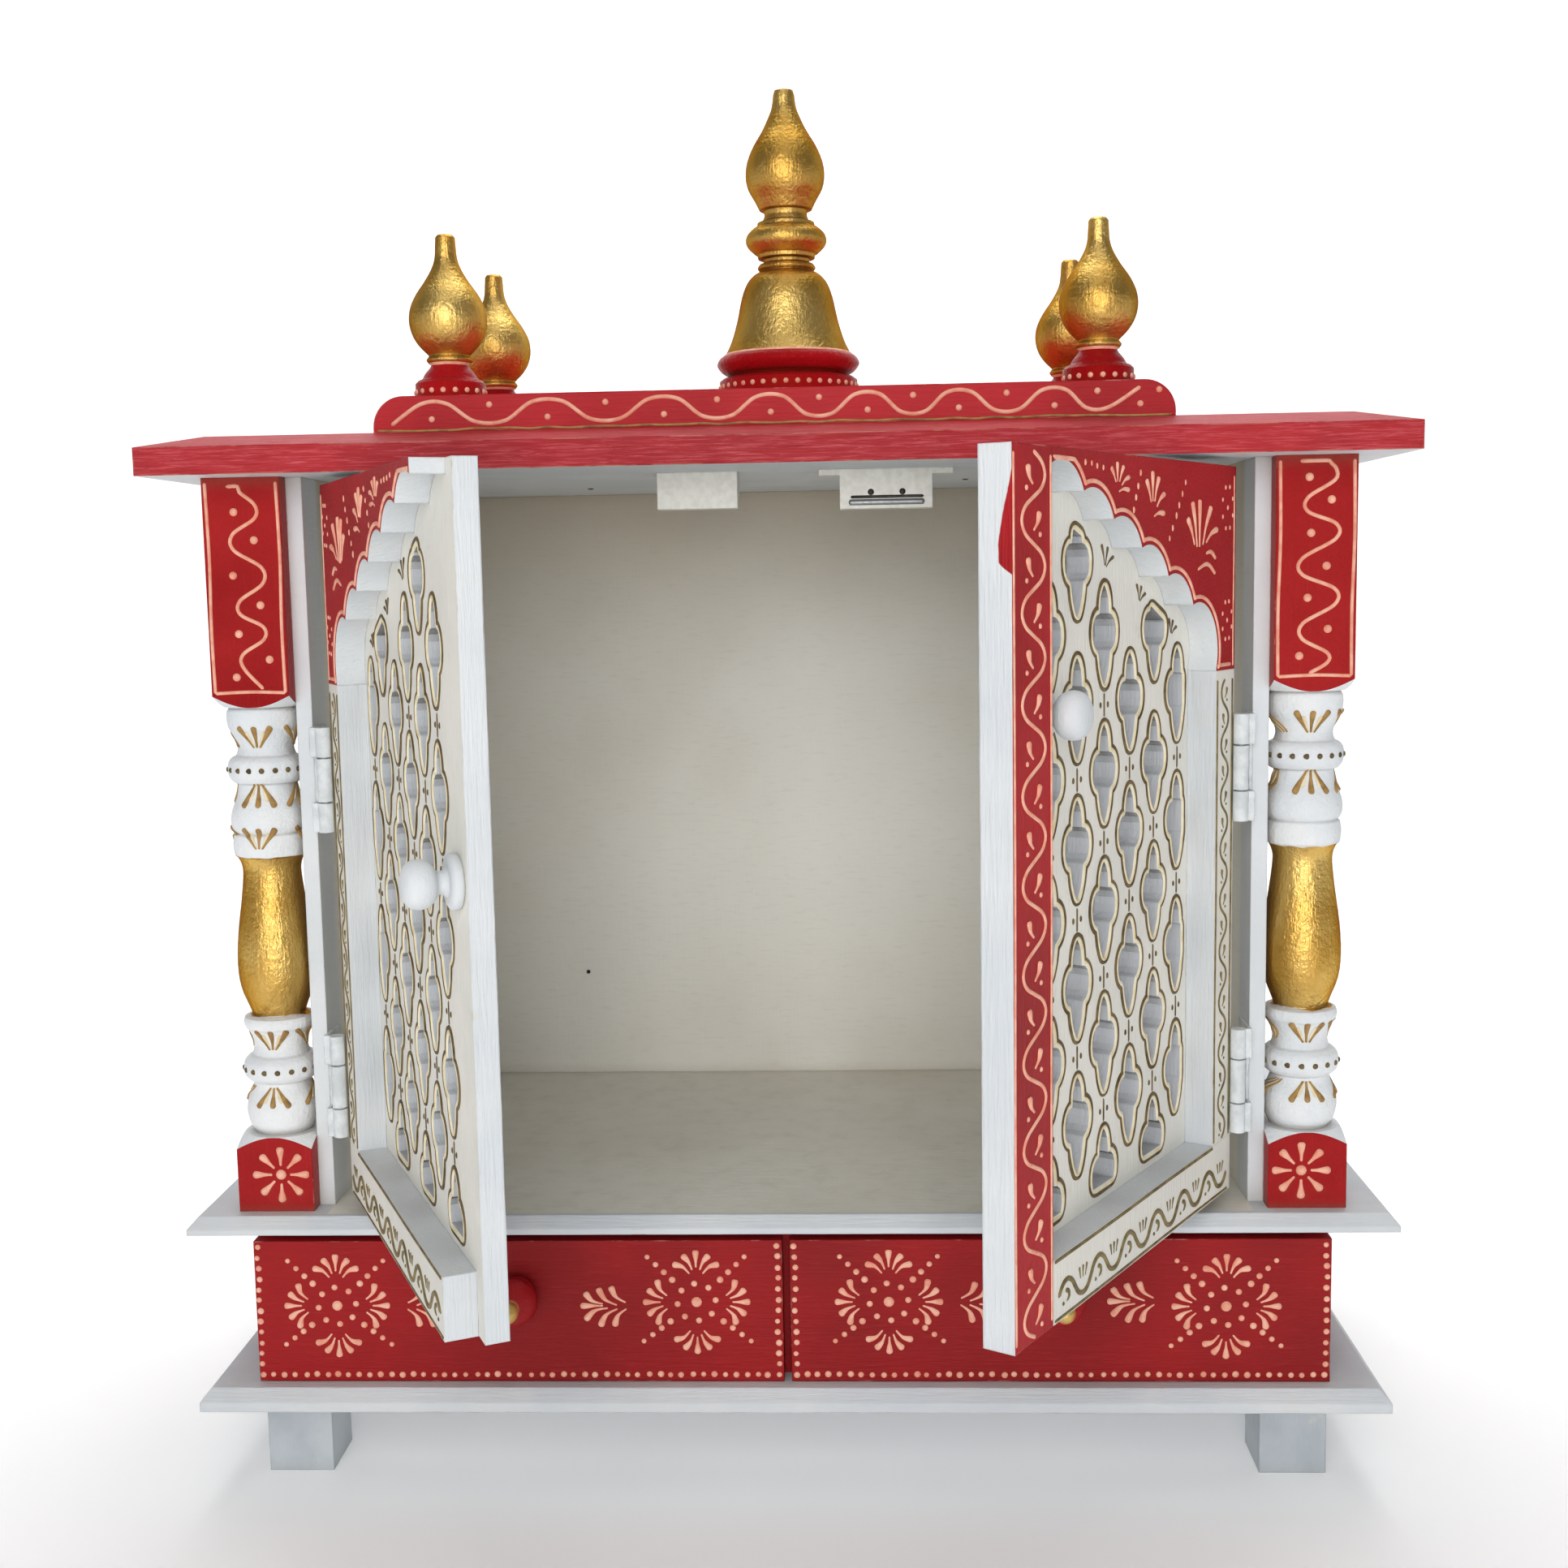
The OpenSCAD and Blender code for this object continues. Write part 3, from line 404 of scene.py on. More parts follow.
def roof_paint(name):
    """Red roof, dry-brushed along its bevel, white below."""
    s = Shader(name)
    red, marks = red_of(s, "x")
    white = white_of(s, "x")[0]
    dry = s.noise(6.0, 6.0, 0.7, s.stretch(9, 160, 160), 0.6)
    red = s.mix(s.calc("MULTIPLY_ADD", s.fade(dry, 0.45, 0.7), 0.6, 0.12), red, ROOF_DRY)
    red = s.mix(s.calc("MULTIPLY", s.fade(dry, 0.42, 0.3), 0.45), red, ROOF_DEEP)
    normal, edge = s.edges(0.0014)
    colour = s.mix(s.facing((0, 0, -1)), red, white)
    colour = worn(s, colour, edge, ROOF_WEAR, 0.18)
    rough = s.calc("MULTIPLY_ADD", marks, 0.25, 0.4)
    return s.finish(colour, rough, s.calc("ADD", marks, dry), 0.0004, normal)


def tray_wood(name):
    """Bare wood, its grain along the drawer."""
    s = Shader(name)
    grain = s.noise(5.0, 6.0, 0.65, s.stretch(60, 4, 60), 1.2)
    normal = s.edges(0.001)[0]
    colour = s.mix(s.fade(grain, 0.3, 0.7), WOOD, WOOD_DARK)
    return s.finish(colour, s.calc("MULTIPLY_ADD", grain, 0.2, 0.55), grain, 0.0004, normal)


def hinge_paint(name):
    """White paint on steel, rubbed bare on its edges."""
    s = Shader(name)
    cloud = s.noise(120.0, 4.0, 0.6)
    normal, edge = s.edges(0.0006)
    bare = s.calc("MULTIPLY", edge, s.fade(s.noise(160.0, 3.0), 0.5, 0.62))
    colour = s.mix(bare, s.mix(s.fade(cloud, 0.35, 0.65), HINGE_WHITE, HINGE_GREY), HINGE_BARE)
    rough = s.calc("MULTIPLY_ADD", cloud, 0.25, 0.32)
    return s.finish(colour, rough, cloud, 0.0002, normal, s.calc("MULTIPLY", bare, 0.8))


def plastic(name):
    """Off-white moulded plastic of the catches."""
    s = Shader(name)
    cloud = s.noise(300.0, 3.0)
    normal = s.edges(0.0008)[0]
    colour = s.mix(s.fade(cloud, 0.3, 0.7), CATCH_WHITE, CATCH_GREY)
    return s.finish(colour, s.calc("MULTIPLY_ADD", cloud, 0.15, 0.3), cloud, 0.00006, normal, gloss=0.5)


def cone_paint(name, light, dark):
    """Raised paint squeezed from a cone."""
    s = Shader(name)
    cloud = s.noise(150.0, 3.0)
    colour = s.mix(s.fade(cloud, 0.35, 0.7), light, dark)
    return s.finish(colour, s.calc("MULTIPLY_ADD", cloud, 0.2, 0.42), cloud, 0.0002)


def steel(name, light, dark):
    """Dull steel of the screws and the catch's bar."""
    s = Shader(name)
    cloud = s.noise(400.0, 3.0)
    rough = s.calc("MULTIPLY_ADD", cloud, 0.3, 0.25)
    return s.finish(s.mix(cloud, light, dark), rough, cloud, 0.00005, metal=0.9)


def dress(material, *names):
    """Gives nodes their material."""
    for name in names:
        mesh = NODES[name].data
        mesh.materials.clear()
        mesh.materials.append(material)


def out_of(angle, side):
    """Outward direction of a door's front, side -1 for the left door."""
    return (side * math.sin(angle), -math.cos(angle), 0.0)


LEFT_OUT, RIGHT_OUT = out_of(LEFT_OPEN, -1), out_of(RIGHT_OPEN, 1)
# How far out the meeting strip's front lies along the right door's outward direction, in metres
STRIP_START = Vector(RIGHT_OUT).dot(Vector((HINGE_X, HINGE_Y, 0))) * MM - FACE_V * MM

dress(white_board("white_boards", "x", BOARD, BOARD_COOL), "base_board", "drawer_case_back")
# Feet in the darkened white: painted shade
dress(white_board("foot_shaded_white", "z", FOOT_SHADED, FOOT_COOL_SHADED), "front_feet", "back_feet")
dress(altar_paint("altar_white"), "altar_board")
# Plinth in the lightened red: painted light
dress(red_board("plinth_lit_red", "x", PLINTH_RED_LIT, PLINTH_DEEP_LIT), "roof_plinth")
# Drawers and their case in the darkened red: painted shade
dress(red_board("drawer_shaded_red", "x", DRAWER_RED_SHADED, DRAWER_DEEP_SHADED), "left_drawer_front", "right_drawer_front")
dress(red_board("drawer_case_shaded_red", "y", DRAWER_RED_SHADED, DRAWER_DEEP_SHADED), "drawer_case_sides", "drawer_divider")
dress(white_board("knob_white", "z"), "left_door_knob", "right_door_knob")
for side, out in (("left", LEFT_OUT), ("right", RIGHT_OUT)):
    # Painted shade in the holes: strong on the lattice, weak on the frames
    dress(door_paint(side + "_lattice_paint", out, 0.9), side + "_door_panel")
    dress(door_paint(side + "_frame_paint", out, 0.2), side + "_door_stile", side + "_door_rail")
dress(inside_out("left_wall_paint", (1, 0, 0)), "left_wall")
dress(inside_out("right_wall_paint", (-1, 0, 0)), "right_wall")
dress(inside_out("back_wall_paint", (0, -1, 0)), "back_wall")
dress(two_tone("left_spandrel_paint", LEFT_OUT, "x"), "left_door_spandrel")
dress(two_tone("right_spandrel_paint", RIGHT_OUT, "x"), "right_door_spandrel")
dress(two_tone("right_strip_paint", RIGHT_OUT, "z", (STRIP_START, RUN_LOW, RUN_HIGH)), "right_door_strip")
dress(column_paint("column_bands"), "left_column", "right_column")
dress(finial_paint("finial_bands", SMALL_COLLAR), "front_finials", "back_finials")
dress(finial_paint("central_bands", CENTRAL_COLLAR), "central_finial")
TRAYS = [side + "_drawer_" + board for side in ("left", "right") for board in ("sides", "back", "bottom")]
dress(tray_wood("tray_wood"), *TRAYS)
dress(hinge_paint("hinge_paint"), "post_hinge_leaves", "left_door_hinge_leaves", "right_door_hinge_leaves")
dress(plastic("catch_white"), "left_catch", "right_catch")
dress(drawer_knob_paint("drawer_knob_red"), "left_drawer_knob", "right_drawer_knob")
dress(roof_paint("roof_red"), "roof_board")


class Flat:
    """A flat face: a along it, z up it, lift out of it, in mm."""

    def __init__(self, origin, along, out, up=(0, 0, 1)):
        self.origin, self.along, self.out, self.up = Vector(origin), Vector(along), Vector(out), Vector(up)

    def at(self, a, z, lift):
        return (self.origin + self.along * a + self.up * z + self.out * lift) * MM


class Turned:
    """A turned face: a is an arc in mm from the front at the turning's own radius, z a height."""

    def __init__(self, node, x, y, low, high):
        self.x, self.y = x, y
        rows = {}
        for v in NODES[node].data.vertices:
            reach = math.hypot(v.co.x / MM - x, v.co.y / MM - y)
            if low <= v.co.z / MM <= high and reach < 60:
                key = round(v.co.z / MM, 2)
                rows[key] = max(rows.get(key, 0), reach)
        self.rows = sorted(rows.items())

    def radius(self, z):
        before = self.rows[0]
        for row in self.rows:
            if row[0] >= z:
                share = (z - before[0]) / (row[0] - before[0]) if row[0] > before[0] else 0
                return before[1] + (row[1] - before[1]) * share
            before = row
        return before[1]

    def at(self, a, z, lift):
        r = self.radius(z)
        turn = a / max(r, 3)
        return Vector((self.x + (r + lift) * math.sin(turn), self.y - (r + lift) * math.cos(turn), z)) * MM


def between(p, q, r, t, f):
    """The value a share f of the way from q to r on a smooth line that comes from p and goes on to t."""
    curve, twist = 2 * p - 5 * q + 4 * r - t, 3 * q - p - 3 * r + t
    return 0.5 * (2 * q + (r - p) * f + curve * f * f + twist * f ** 3)


def spline(points, step):
    """A smooth line through points, about evenly sampled."""
    closed = points[0] == points[-1] and len(points) > 2
    ends = [points[-2]] + points + [points[1]] if closed else [points[0]] + points + [points[-1]]
    line = []
    for p, q, r, t in zip(ends, ends[1:], ends[2:], ends[3:]):
        n = max(1, round(math.dist(q, r) / step))
        for i in range(n):
            line.append(tuple(between(p[k], q[k], r[k], t[k], i / n) for k in (0, 1)))
    return line + [points[-1]]


class Relief:
    """Raised paint or small hardware on one body, gathered into one mesh."""

    PROFILE = [(-1.0, -0.12), (-0.72, 0.68), (0.0, 1.0), (0.72, 0.68), (1.0, -0.12)]

    def __init__(self, name, body, material, slot="gold_paint"):
        self.name, self.body, self.material, self.slot = name, body, material, slot
        self.points, self.faces = [], []

    def dot(self, face, a, z, r, tall=0.55, sides=10, stretch=1.0):
        """A dome on the face, r wide and r times stretch high."""
        first = len(self.points)
        for ring, lift in ((1.0, -0.1), (0.78, 0.62), (0.42, 0.92)):
            for i in range(sides):
                turn = 2 * math.pi * i / sides
                across, up = r * ring * math.cos(turn), r * stretch * ring * math.sin(turn)
                self.points.append(face.at(a + across, z + up, r * tall * lift))
        self.points.append(face.at(a, z, r * tall))
        for k in (0, 1):
            low, high = first + k * sides, first + (k + 1) * sides
            for i in range(sides):
                j = (i + 1) % sides
                self.faces.append((low + i, low + j, high + j, high + i))
        for i in range(sides):
            self.faces.append((first + 2 * sides + i, first + 2 * sides + (i + 1) % sides, first + 3 * sides))

    def stroke(self, face, points, widths, tall=0.7, step=1.3):
        """A half-round line through points; widths are half widths along it, in mm."""
        line = spline(points, step)
        count = len(line)
        closed = points[0] == points[-1] and len(points) > 2
        first = len(self.points)
        for i, (a, z) in enumerate(line):
            before, after = line[max(i - 1, 0)], line[min(i + 1, count - 1)]
            if closed and i in (0, count - 1):
                before, after = line[-2], line[1]
            da, dz = after[0] - before[0], after[1] - before[1]
            size = math.hypot(da, dz) or 1.0
            t = i / (count - 1) * (len(widths) - 1)
            k = min(int(t), max(len(widths) - 2, 0))
            w = widths[k] + (widths[min(k + 1, len(widths) - 1)] - widths[k]) * (t - k)
            if not closed:
                tip = min(i, count - 1 - i) * step / max(w, 0.1)
                w = w * math.sqrt(max(0.12, 1 - max(0, 1 - tip) ** 2))
            across, up = -dz / size * w, da / size * w
            for side, lift in self.PROFILE:
                self.points.append(face.at(a + across * side, z + up * side, w * tall * lift))
        n = len(self.PROFILE)
        for i in range(count - 1):
            for k in range(n - 1):
                low, high = first + i * n + k, first + (i + 1) * n + k
                self.faces.append((low, high, high + 1, low + 1))

    def petal(self, face, base, tip, thin, wide, bend=0.0):
        """A teardrop from a thin base to a round tip, bowed by bend times its length."""
        (a, z), (b, y) = base, tip
        mid = ((a + b) / 2 - (y - z) * bend, (z + y) / 2 + (b - a) * bend)
        grow = [thin, thin, thin + 0.2 * (wide - thin), thin + 0.65 * (wide - thin), wide, wide]
        self.stroke(face, [base, mid, tip], grow, step=0.7)

    def row(self, face, start, end, gap, r, jitter=0.1, stretch=1.0):
        """A row of dots, a little uneven as by hand."""
        count = max(1, round(math.dist(start, end) / gap))
        for i in range(count + 1):
            a = start[0] + (end[0] - start[0]) * i / count + RNG.uniform(-jitter, jitter) * gap
            z = start[1] + (end[1] - start[1]) * i / count + RNG.uniform(-jitter, jitter) * gap * 0.5
            self.dot(face, a, z, r * RNG.uniform(0.85, 1.12), stretch=stretch)

    def build(self):
        """Makes the piece and lets it ride on its body."""
        mesh = bpy.data.meshes.new(self.name)
        mesh.from_pydata([tuple(p) for p in self.points], [], self.faces)
        mesh.update()
        mesh.polygons.foreach_set("use_smooth", [True] * len(mesh.polygons))
        mesh.materials.append(self.material)
        piece = bpy.data.objects.new(self.name, mesh)
        bpy.context.scene.collection.objects.link(piece)
        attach(piece, self.body)


SALMON = cone_paint("salmon_lines", rgb(244, 186, 160), rgb(232, 152, 126))
BROWN = cone_paint("brown_lines", rgb(116, 98, 64), rgb(76, 62, 40))
# Cream raised lines, used as painted highlights beside the brown lattice lines and in the column fans
CREAM = cone_paint("cream_highlight_lines", rgb(238, 228, 200), rgb(226, 208, 164))
OCHRE = cone_paint("ochre_lines", rgb(178, 142, 84), rgb(138, 104, 58))
OLIVE = cone_paint("olive_lines", rgb(136, 120, 80), rgb(98, 84, 52))
DARK_STEEL = steel("dark_steel", rgb(70, 66, 62), rgb(40, 38, 36))
BRIGHT_STEEL = steel("bright_steel", rgb(170, 172, 172), rgb(120, 122, 122))


def front_of(node):
    """Front face of a node of the cabinet or a drawer: a is x and z the height."""
    return Flat((0, limit(node, LOW, Y), 0), (1, 0, 0), (0, -1, 0))


DRAWERS = front_of("left_drawer_front")
COLUMN_FACE, PLINTH_FACE = front_of("left_column"), front_of("roof_plinth")


def leaf(side, angle, v):
    """Front of a door at depth v: a from the hinge pin, z over the door's foot."""
    out = Vector(out_of(angle, side))
    origin = Vector((side * HINGE_X, HINGE_Y, DOOR_Z)) - out * v
    return Flat(origin, (-side * math.cos(angle), -math.sin(angle), 0), out)


LEFT_PANEL, RIGHT_PANEL = leaf(-1, LEFT_OPEN, PANEL_V), leaf(1, RIGHT_OPEN, PANEL_V)
LEFT_FRONT, RIGHT_FRONT = leaf(-1, LEFT_OPEN, FACE_V), leaf(1, RIGHT_OPEN, FACE_V)


def flower(p, face, a, z):
    """Drawer flower: dotted ring, four fans of drops and four dotted rays."""
    ring, ray_start, ray_gap = 9.8, 17, 5.8
    drops = [(18.3, 27.5, 0), (17, 25, 7), (17, 25, -7), (15, 20, 12), (15, 20, -12)]
    p.dot(face, a, z, 2.8)
    for i in range(8):
        turn = math.radians(45 * i + 6)
        p.dot(face, a + ring * math.cos(turn), z + ring * math.sin(turn), 1.65)
    for i, ray in enumerate((44, 136, 217, 323)):
        c, s = math.cos(math.radians(90 * i)), math.sin(math.radians(90 * i))
        for foot, reach, lean in drops:
            base = (a + c * foot - s * lean * 0.28, z + s * foot + c * lean * 0.28)
            tip = (a + c * reach - s * lean, z + s * reach + c * lean)
            p.petal(face, base, tip, 0.5, 1.75, -0.012 * lean)
        d = math.radians(ray)
        for k in range(4):
            r = ray_start + ray_gap * k
            p.dot(face, a + r * math.cos(d), z + r * math.sin(d), 1.8 - 0.15 * k)


def fan(p, face, a, z, side):
    """A feather of seven drops that opens to one side."""
    drops = [(12, 0, 23.7, 0), (12, 1, 21.3, 7.2), (9.5, -1.2, 21.3, -7.6), (4.8, 0.3, 14.4, 9.5),
             (4.6, -1.6, 13.7, -11), (0.3, 1.7, 7.9, 10.4), (0, -1.6, 6.3, -11)]
    for foot, low, reach, high in drops:
        bend = -0.15 * side * (1 if high > 0 else -1) * (high != 0)
        p.petal(face, (a + side * foot, z + low), (a + side * reach, z + high), 0.5, 1.75, bend)


def drawer(name, body, flowers, fans, left, right):
    """Painting of a drawer front, with dotted borders at its left, right and foot."""
    p = Relief(name, body, SALMON)
    for a, z in flowers:
        flower(p, DRAWERS, a, z)
    for a, z, side in fans:
        fan(p, DRAWERS, a, z, side)
    gap, size = 5.6, 1.6
    foot, head = limit("left_drawer_front", LOW, Z) + 3.5, limit("left_drawer_front", HIGH, Z) - 3
    p.row(DRAWERS, (left, foot), (left, head), gap, size)
    p.row(DRAWERS, (right, foot), (right, head), gap, size)
    p.row(DRAWERS, (left + gap, foot), (right - gap, foot), gap, size)
    p.build()


drawer("left_drawer_painting", "left_drawer", [(-231.4, 97.7), (-46.0, 99.4)],
       [(-82.0, 97.5, -1), (-195.0, 97.5, 1)], left=-271.5, right=-4.5)
drawer("right_drawer_painting", "right_drawer", [(51.9, 99.4), (221.5, 96.8)],
       [(88.0, 99.5, 1), (185.5, 99.5, -1)], left=4.2, right=271.2)


def block_flower(p, a, z):
    """Eight drops round a dot on a column's foot block."""
    p.dot(COLUMN_FACE, a, z, 2.8)
    for i in range(8):
        c, s = math.cos(math.radians(45 * i)), math.sin(math.radians(45 * i))
        p.petal(COLUMN_FACE, (a + 4.6 * c, z + 4.6 * s), (a + 14.6 * c, z + 14.6 * s), 0.7, 2.1)


def rounded(points, wide, tall):
    """A point on each side of every bend of a line; wide and tall are shares of the way to the next bend."""
    line = [points[0]]
    for p, q, r in zip(points, points[1:], points[2:]):
        line += [(q[0] + (end[0] - q[0]) * wide, q[1] + (end[1] - q[1]) * tall) for end in (p, r)]
    return line + [points[-1]]


def column_head(side, bends, dots):
    """Stem, dots and border on a column's head block, flower on its foot; places are (reach, height)."""
    p = Relief(("left" if side < 0 else "right") + "_column_painting", "cabinet", SALMON)
    inner, outer, foot, head = 244.8, 280.2, 413, 517
    p.stroke(COLUMN_FACE, rounded([(side * a, z) for a, z in bends], 0.06, 0.24), [0.95])
    for a, z in dots:
        p.dot(COLUMN_FACE, side * a, z, 2.1)
    for a in (side * inner, side * outer):
        p.stroke(COLUMN_FACE, [(a, head), (a + 0.5, 480), (a - 0.3, 445), (a, foot)], [0.85])
    below = [(side * outer, foot), (side * (inner + outer) / 2, foot + 0.6), (side * inner, foot)]
    p.stroke(COLUMN_FACE, below, [0.85])
    block_flower(p, side * 259.5, 165)
    p.build()


LEFT_STEM = [(269.5, 515), (263.4, 515), (255.2, 503), (268.2, 488), (252.8, 471), (266.2, 455),
             (253.6, 443), (265.9, 429), (255.8, 415)]
LEFT_DOTS = [(266.4, 502.5), (256.9, 488.6), (268.2, 471.4), (255.2, 456.6), (266.8, 442.5), (252, 429.6),
             (269, 421)]
RIGHT_STEM = [(254.3, 516.5), (269, 516.5), (271.7, 511), (257.3, 495.3), (272.8, 483.6), (254.7, 465.7),
              (272.7, 451.9), (255.4, 434.5), (269.1, 421.3), (259.8, 414.5)]
RIGHT_DOTS = [(258.8, 508.9), (269.5, 498), (259.9, 482.2), (267.5, 466.3), (258.6, 451.1), (268.5, 435.9),
              (255, 423)]
column_head(-1, LEFT_STEM, LEFT_DOTS)
column_head(1, RIGHT_STEM, RIGHT_DOTS)


def loops_of(node, face):
    """Edge loops of a node's flat front, as (a, z) in mm on that face."""
    mesh = NODES[node].data
    used = set()
    for polygon in mesh.polygons:
        if polygon.normal.dot(face.out) < 0.99:
            continue
        ring = []
        for i in polygon.vertices:
            d = mesh.vertices[i].co / MM - face.origin
            if abs(d.dot(face.out)) < 0.3:
                ring.append((round(d.dot(face.along), 2), round(d.z, 2)))
        if len(ring) == len(polygon.vertices):
            for p, q in zip(ring, ring[1:] + ring[:1]):
                if (q, p) in used:
                    used.remove((q, p))
                elif p != q:
                    used.add((p, q))
    follow = {}
    for p, q in sorted(used):
        follow.setdefault(p, []).append(q)
    loops = []
    while follow:
        now = min(follow)
        loop = []
        while now in follow:
            loop.append(now)
            after = follow[now].pop()
            if not follow[now]:
                del follow[now]
            now = after
        loops.append(loop)
    return loops


def evenly(loop, step):
    """A closed loop, resampled at even steps."""
    ring = loop + [loop[0]]
    total = sum(math.dist(p, q) for p, q in zip(ring, ring[1:]))
    count = max(8, round(total / step))
    out, walked, k = [], 0.0, 0
    for i in range(count):
        goal = total * i / count
        while walked + math.dist(ring[k], ring[k + 1]) < goal:
            walked += math.dist(ring[k], ring[k + 1])
            k += 1
        f = (goal - walked) / (math.dist(ring[k], ring[k + 1]) or 1)
        out.append(tuple(ring[k][j] + (ring[k + 1][j] - ring[k][j]) * f for j in (0, 1)))
    return out


def softened(loop):
    """A closed loop with each point drawn halfway towards the middle of its neighbours."""
    return [tuple((before[j] + 2 * now[j] + after[j]) / 4 for j in (0, 1))
            for before, now, after in zip(loop[-1:] + loop, loop, loop[1:] + loop[:1])]


def grown(loop, by):
    """A closed loop pushed outward, then smoothed a little."""
    area = sum(p[0] * q[1] - q[0] * p[1] for p, q in zip(loop, loop[1:] + loop[:1]))
    turn = by if area > 0 else -by
    n = len(loop)
    out = []
    for i in range(n):
        p, q = loop[i - 1], loop[(i + 1) % n]
        da, dz = q[0] - p[0], q[1] - p[1]
        size = math.hypot(da, dz) or 1
        out.append((loop[i][0] + turn * dz / size, loop[i][1] - turn * da / size))
    return softened(softened(out))


def sprig(p, face, a, z, wide, tall, leaves, thick):
    """Drops that rise from a root; leaves are (tip, base) as shares of width and height."""
    for (b, y), (c, x) in leaves:
        base, tip = (a + c * wide, z + x * tall), (a + b * wide, z + y * tall)
        p.petal(face, base, tip, 0.45 * thick, 1.15 * thick, 0.08 * b)


SPRIG = [((0.58, 0.8), (0.14, 0.28)), ((0.06, 1.0), (0, 0.3)), ((-0.5, 0.88), (-0.16, 0.3)),
         ((-1.0, 0.5), (-0.34, 0.18)), ((-0.98, 0.04), (-0.1, -0.04))]
BUSH = [((0.69, 0.65), (0.28, 0.16)), ((0.43, 0.95), (0.14, 0.12)), ((0.02, 1.0), (0, 0.12)),
        ((-0.63, 0.88), (-0.18, 0.16)), ((-1.0, 0.46), (-0.36, 0.2))]
TRIO = [((0.42, 1.0), (0.06, 0.1)), ((-0.22, 0.9), (0, 0.1)), ((-0.8, 0.48), (-0.06, 0.04))]


def jali(name, body, node, face):
    """Lines round the lattice holes, a tie and two dots between stacked ones, and sprigs under the arch."""
    tallest_hole, rim_out, line_out = 150, 1.6, 3.3
    brown, cream = Relief(name + "_brown_lines", body, BROWN), Relief(name + "_cream_highlight_lines", body, CREAM)
    holes = []
    for loop in loops_of(node, face):
        low, high = min(q[1] for q in loop), max(q[1] for q in loop)
        if high - low > tallest_hole:
            continue
        ring = evenly(loop, 1.1)
        rim, line = grown(ring, rim_out), grown(ring, line_out)
        uneven = [RNG.uniform(0.65, 1.15) for _ in range(9)]
        # Cream line round each hole: painted highlight on the lit side of the raised line
        cream.stroke(face, rim + [rim[0]], [0.85], tall=0.8, step=1.4)
        brown.stroke(face, line + [line[0]], uneven + uneven[:1], tall=0.75, step=1.4)
        holes.append((max(ring, key=lambda q: q[1])[0], low, high))
    for a, low, high in holes:
        for b, foot, _ in holes:
            if abs(a - b) < 3 and 8 < foot - high < 25:
                brown.stroke(face, [(a, high + 3), (a, (high + foot) / 2), (a, foot - 3)], [0.65])
                for side in (-3.8, 3.8):
                    brown.dot(face, a + side, (high + foot) / 2, 1.0, stretch=1.5)
    for a, z, size in ((117.8, 313.4, 10.5), (80.6, 297.7, 8.5), (43.2, 281.6, 8)):
        sprig(brown, face, a, z, size, size, TRIO, 0.8)
    brown.build()
    cream.build()


jali("left_lattice", "left_door", "left_door_panel", LEFT_PANEL)
jali("right_lattice", "right_door", "right_door_panel", RIGHT_PANEL)


def wave(start, end, half, swing):
    """Points, placer and bay count of a wavy stem; the placer turns (bay, share, offset) into a point."""
    length = math.dist(start, end)
    count = max(2, round(length / half))
    ua, uz = (end[0] - start[0]) / length, (end[1] - start[1]) / length

    def place(bay, share, off):
        along = length * (bay + share) / count
        return (start[0] + ua * along - uz * off, start[1] + uz * along + ua * off)
    stem = []
    for i in range(6 * count + 1):
        bow = math.sin(math.pi * i / 6)
        stem.append(place(i // 6, i % 6 / 6, swing * math.copysign(abs(bow) ** 0.75, bow)))
    return stem, place, count


def vine(p, face, start, end, half, swing, thin, mark):
    """A wavy stem with a drop and a dot in each bay."""
    stem, place, count = wave(start, end, half, swing)
    p.stroke(face, stem, [thin])
    for i in range(count):
        off = swing if i % 2 else -swing
        p.petal(face, place(i, 0.28, off * 0.02), place(i, 0.7, off * 0.5), 0.4 * mark, 1.1 * mark,
                0.12 if off > 0 else -0.12)
        p.dot(face, *place(i, 0.2, off * 0.58), 0.75 * mark)


def scroll(p, face, start, end, half, swing, thin):
    """A wavy stem with a comma under each crest and three short strokes over each trough."""
    comma = [(0.42, 0.15), (0.58, 0.05), (0.64, -0.4), (0.5, -0.75)]
    stem, place, count = wave(start, end, half, swing)
    p.stroke(face, stem, [thin])
    for i in range(count):
        if i % 2:
            for k in (-0.24, 0.0, 0.24):
                p.petal(face, place(i, 0.5 + k * 0.6, swing * 0.2), place(i, 0.5 + k, swing * 1.2), 0.4, 0.75)
        else:
            p.stroke(face, [place(i, share, off * swing) for share, off in comma], [1.2, 1.0, 0.6])
            p.dot(face, *place(i, 0.3, -0.75 * swing), 0.95)


def spandrel_edge(p, face, node):
    """A raised line along the foils and the lower end of a spandrel."""
    loop = max(loops_of(node, face), key=len)
    hinge_side, top = min(q[0] for q in loop), max(q[1] for q in loop)
    line = [q for q in grown(evenly(loop, 1.3), -2.6) if q[1] < top - 4 and q[0] > hinge_side + 4]
    start = max(range(len(line)), key=lambda i: math.dist(line[i - 1], line[i]))
    p.stroke(face, line[start:] + line[:start], [0.95], step=1.3)


def cluster(p, face, a, z, wide, tall):
    """A ring of small dots round a middle one."""
    p.dot(face, a, z, 0.9, stretch=1.4)
    for i in range(8):
        turn = math.radians(45 * i + 20)
        p.dot(face, a + wide * math.cos(turn), z + tall * math.sin(turn), 0.85, stretch=1.4)


